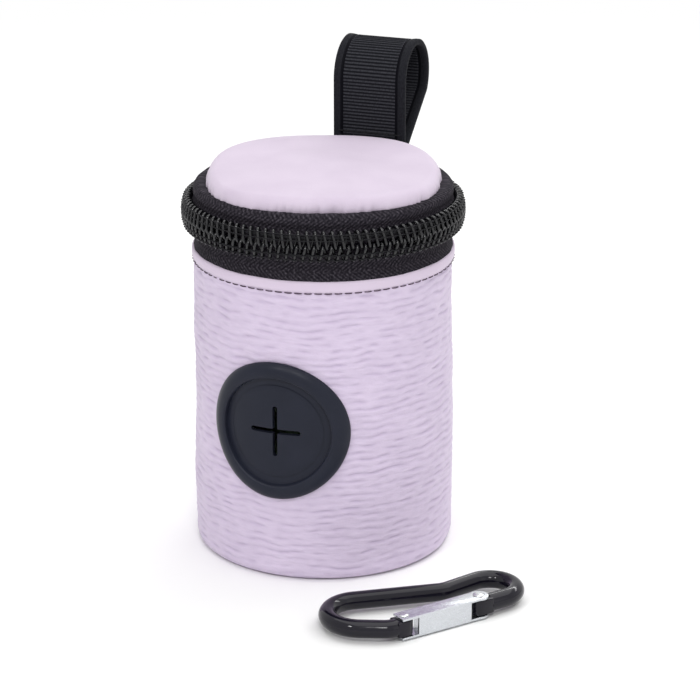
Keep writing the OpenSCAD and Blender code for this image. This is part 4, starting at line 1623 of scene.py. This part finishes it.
@dataclass
class Carabiner(Dressed):
    """The small carabiner: bent bar, folded gate, rivet, latch pin, spring and plunger."""

    at: tuple[float, float] = (27.0, -47.7)
    turn: float = 33.7
    bar_z: float = 2.85
    bar_d: float = 4.1
    bow_r: float = 7.5
    eye_r: float = 5.6
    spine: float = 20.8
    gate_len: float = 20.0
    taper: float = 19.2
    splay: float = 16.0
    nose: float = 6.6
    bend_r: float = 5.0
    pin_from_corner: float = 3.6
    tail: float = 7.2
    hinge_flat: float = 2.6
    tongue_t: float = 3.6
    pin_d: float = 1.6
    spring_start: float = 4.0
    spring_room: float = 7.8
    spring_turns: int = 7
    spring_r: float = 1.2
    spring_wire: float = 0.4

    @property
    def nose_cut(self) -> float:
        """Length that the bend at the nose takes off both stretches beside it."""
        return self.bend_r * math.tan(math.radians((self.taper + self.splay) / 2))

    def layout(self) -> dict[str, Vector]:
        """Works out the key points of the carabiner's plane.

        Returns:
            The gate's direction, the corner at the nose, the pin, the rivet and the centre of
            the eye, all from the centre of the bow.
        """
        s, c = math.sin(math.radians(self.splay)), math.cos(math.radians(self.splay))
        t = math.radians(self.taper)
        along, side = Vector((math.cos(t), math.sin(t))), Vector((-math.sin(t), math.cos(t)))
        corner = self.bow_r * Vector((-s, -c)) + self.nose * Vector((c, -s))
        pin = corner + self.pin_from_corner * along
        rivet = pin + self.gate_len * along
        eye = rivet + self.tail * along + self.eye_r * side
        return {"along": along, "corner": corner, "pin": pin, "rivet": rivet, "eye": eye}

    def bar_line(self) -> list[Vector]:
        """Runs the centre line of the bent bar.

        Returns:
            Its points, from the nose round the bow to the hinge.
        """
        p = self.layout()
        waist = Vector((self.spine, self.bow_r))
        gap = p["eye"] - waist
        neck = math.sqrt(gap.length_squared - self.eye_r ** 2)
        lift = math.degrees(math.atan2(gap.y, gap.x) + math.atan2(self.eye_r, neck))
        nose_cut = self.nose_cut
        waist_cut = self.bend_r * math.tan(math.radians(lift / 2))
        steps = [(0.0, self.bend_r, -self.taper - self.splay),
                 (self.nose - nose_cut, self.bow_r, self.splay - 180),
                 (self.spine - waist_cut, self.bend_r, lift),
                 (neck - waist_cut, self.eye_r, self.taper - lift - 180),
                 (self.tail - self.hinge_flat, 0.0, 0.0)]
        here = p["corner"] + nose_cut * p["along"]
        heading = self.taper + 180
        line = [here.copy()]
        for run, radius, turn in steps:
            ahead = Vector((math.cos(math.radians(heading)), math.sin(math.radians(heading))))
            count = max(1, round(run / 1.5))
            line += [here + ahead * run * (k + 1) / count for k in range(count) if run > 0]
            here = here + ahead * run
            if turn:
                left = math.copysign(1.0, turn)
                centre = here + left * radius * Vector((-ahead.y, ahead.x))
                count = max(2, round(abs(turn) / 5))
                for k in range(1, count + 1):
                    h = math.radians(heading + turn * k / count)
                    line.append(centre + left * radius * Vector((math.sin(h), -math.cos(h))))
                heading += turn
                here = line[-1].copy()
        return [Vector((q.x, q.y, 0)) for q in line]

    def set_down(self, bm: Mesh, at: Optional[Vector] = None) -> Mesh:
        """Lays a mesh where the carabiner lies.

        Args:
            bm: A mesh that lies flat round the bow's centre, or along the gate's line.
            at: The point on the gate's line that it starts from, or None for the bow.

        Returns:
            The same mesh.
        """
        move = Matrix.Translation((*self.at, self.bar_z)) \
            @ Matrix.Rotation(math.radians(self.turn), 4, "Z")
        if at is not None:
            move = move @ Matrix.Translation((at.x, at.y, 0)) \
                @ Matrix.Rotation(math.radians(self.taper), 4, "Z")
        bmesh.ops.transform(bm, matrix=move, verts=bm.verts)
        return bm

    def frame(self) -> None:
        """Makes the bent bar with its two flat tongues."""
        p = self.layout()
        bar = tube("bar", [self.bar_line()], self.bar_d / 2, 28)
        width, reach = self.bar_d / 2 - 0.05, self.pin_d / 2 + 0.1
        left, right = self.nose_cut - self.pin_from_corner - 0.4, self.hinge_flat + 0.4
        nose = [(left, -width)]
        nose += arc((0, 0), width, -90, math.degrees(math.acos(reach / width)), 12)
        nose += arc((0, 0), reach, 0, -180, 10)
        nose += [(-reach, math.sqrt(width ** 2 - reach ** 2)), (left, width)]
        heel = arc((0, 0), width, 90, 270, 16) + [(right, -width), (right, width)]
        tongues = [soften_edges(extruded(outline, self.tongue_t, -self.tongue_t / 2), 0.3)
                   for outline in (nose, heel)]
        bm = joined(self.set_down(bar), self.set_down(tongues[0], p["pin"]),
                    self.set_down(tongues[1], p["rivet"]))
        new_piece("bent_bar", bm, self.finish.enamel, "carabiner", ["carabiner_frame"],
                  SMOOTH_BAR)

    def gate(self) -> None:
        """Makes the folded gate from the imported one, with its edges rounded."""
        new_piece("folded_gate", softened_copy("carabiner_gate", 0.14, 3), self.finish.sheet,
                  "gate", ["carabiner_gate"], SMOOTH_METAL)

    def pin(self, name: str, node: str, at: Vector, head_r: float, body: str) -> None:
        """Makes a pin with a domed head at each end.

        Args:
            name: The piece's name.
            node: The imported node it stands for.
            at: Where it stands on the gate's line.
            head_r: Radius of its heads.
            body: The body it rides on.
        """
        half = self.bar_z - 0.3
        dome = [(0.0, 0.3), (head_r * 0.4, 0.295), (head_r * 0.75, 0.24), (head_r * 0.97, 0.12),
                (head_r, 0.0)]
        line = [(r, half + z) for r, z in dome] + [(self.pin_d / 2, half - 0.02)]
        line += [(r, -z) for r, z in line[::-1]]
        new_piece(name, self.set_down(spun_line(line, 40), at), self.finish.rivet, body, [node],
                  SMOOTH_BAR)

    def spring(self) -> None:
        """Makes the gate's spring and its plunger."""
        length = self.gate_len - self.bar_d / 2 - self.spring_room
        steps = 16 * self.spring_turns
        line = []
        for i in range(steps + 1):
            a = TAU * i / 16
            line.append(Vector((self.spring_start + length * i / steps,
                                self.spring_r * math.cos(a), self.spring_r * math.sin(a))))
        coil = self.set_down(tube("spring", [line], self.spring_wire / 2), self.layout()["pin"])
        new_piece("spring_coil", coil, self.finish.spring, "gate", ["gate_spring"], SMOOTH_WIRE)
        new_piece("plunger", softened_copy("spring_plunger", 0.12), self.finish.rivet, "gate",
                  ["spring_plunger"])

    def build(self) -> None:
        """Makes every piece of the carabiner."""
        p = self.layout()
        self.frame()
        self.gate()
        self.pin("rivet", "gate_rivet", p["rivet"], 1.3, "carabiner")
        self.pin("catch_pin", "latch_pin", p["pin"], 1.1, "gate")
        self.spring()


# The studio


@dataclass
class Studio:
    """Floor, lights, surroundings and camera."""

    camera_at: tuple[float, float, float] = (0.21903, -0.57059, 0.26125)
    camera_to: tuple[float, float, float] = (-0.3291137, 0.8838062, -0.3325219)
    lens: float = 142.1
    aim: tuple[float, float, float] = (0.0, 0.0, 0.045)
    shadow_reach: tuple[float, float] = (0.22, 0.6)
    floor_colour: tuple[float, float, float] = (0.965, 0.965, 0.96)
    surround: float = 0.46

    def floor(self) -> None:
        """Makes a pale floor that keeps the soft shadow and turns plain white further out."""
        bm = bmesh.new()
        bmesh.ops.create_grid(bm, x_segments=8, y_segments=8, size=4)
        g = Graph("pale_floor")
        coord = g.node("ShaderNodeTexCoord").outputs["Object"]
        far = g.node("ShaderNodeVectorMath", {0: coord}, operation="LENGTH").outputs["Value"]
        near, away = self.shadow_reach
        fade = g.node("ShaderNodeMapRange", {"Value": far, "From Min": near, "From Max": away},
                      interpolation_type="SMOOTHSTEP").outputs[0]
        white = g.math("MULTIPLY", fade, g.background_rays())
        g.set(Base_Color=g.tint(white, self.floor_colour, (0.0, 0.0, 0.0)),
              Emission_Color=(1, 1, 1, 1), Emission_Strength=white,
              Roughness=0.9, Specular_IOR_Level=0.0)
        mesh = bpy.data.meshes.new("floor")
        bm.to_mesh(mesh)
        bm.free()
        mesh.materials.append(g.material)
        floor = bpy.data.objects.new("floor", mesh)
        floor.location.z = -0.0001
        bpy.context.scene.collection.objects.link(floor)

    def world(self) -> None:
        """Makes white surroundings that light the object softly."""
        world = bpy.data.worlds.new("studio")
        bpy.context.scene.world = world
        world.use_nodes = True
        g = Graph("studio", world.node_tree)
        background = g.tree.nodes["Background"]
        g.feed(background.inputs["Color"], (1.0, 0.998, 1.0, 1))
        level = g.node("ShaderNodeMapRange", {
            "Value": g.background_rays(), "To Min": self.surround, "To Max": 1.0})
        g.feed(background.inputs["Strength"], level.outputs[0])

    def light(self, name: str, at: Sequence[float], to: Sequence[float], size: float,
              power: float, height: Optional[float] = None) -> None:
        """Adds a soft light.

        Args:
            name: Its name.
            at: Where it hangs, in metres.
            to: The point it faces.
            size: Its width, in metres.
            power: Its power in watts.
            height: Its height, or None where it is square.
        """
        data = bpy.data.lights.new(name, "AREA")
        data.energy, data.size = power, size
        if height:
            data.shape, data.size_y = "RECTANGLE", height
        lamp = bpy.data.objects.new(name, data)
        lamp.location = at
        lamp.rotation_euler = (Vector(to) - Vector(at)).to_track_quat("-Z", "Y").to_euler()
        bpy.context.scene.collection.objects.link(lamp)

    def camera(self) -> None:
        """Sets the camera at the photograph's viewpoint."""
        data = bpy.data.cameras.new("camera")
        data.lens, data.sensor_width = self.lens, 36.0
        data.clip_start, data.clip_end = 0.01, 20.0
        data.dof.use_dof = False
        camera = bpy.data.objects.new("camera", data)
        camera.location = self.camera_at
        camera.rotation_euler = Vector(self.camera_to).to_track_quat("-Z", "Y").to_euler()
        bpy.context.scene.collection.objects.link(camera)
        bpy.context.scene.camera = camera

    def build(self) -> None:
        """Makes the whole studio."""
        bpy.context.scene.view_settings.view_transform = "Standard"
        self.floor()
        self.world()
        self.light("key", (0.45, -0.95, 0.95), self.aim, 0.32, 4.0)
        self.light("top", (0.1, 0.35, 1.7), (0.05, 0.3, 0.0), 2.2, 21.0)
        self.light("side", (1.0, -0.35, 0.45), self.aim, 0.6, 0.4)
        self.light("spark", (-0.2, -0.85, 0.8), self.aim, 0.12, 2.0)
        self.light("strip", (0.25, 0.8, 0.65), self.aim, 1.0, 2.0, 0.06)
        self.camera()


def main() -> None:
    """Builds the studio and every sub-assembly, in order."""
    logging.basicConfig(level=logging.INFO, format="%(message)s")
    Studio().build()
    finish = Finishes.build()
    Pouch(finish).build()
    Zipper(finish).build()
    Lid(finish).build()
    BagRoll(finish).build()
    Carabiner(finish).build()


if __name__ == "__main__":
    main()
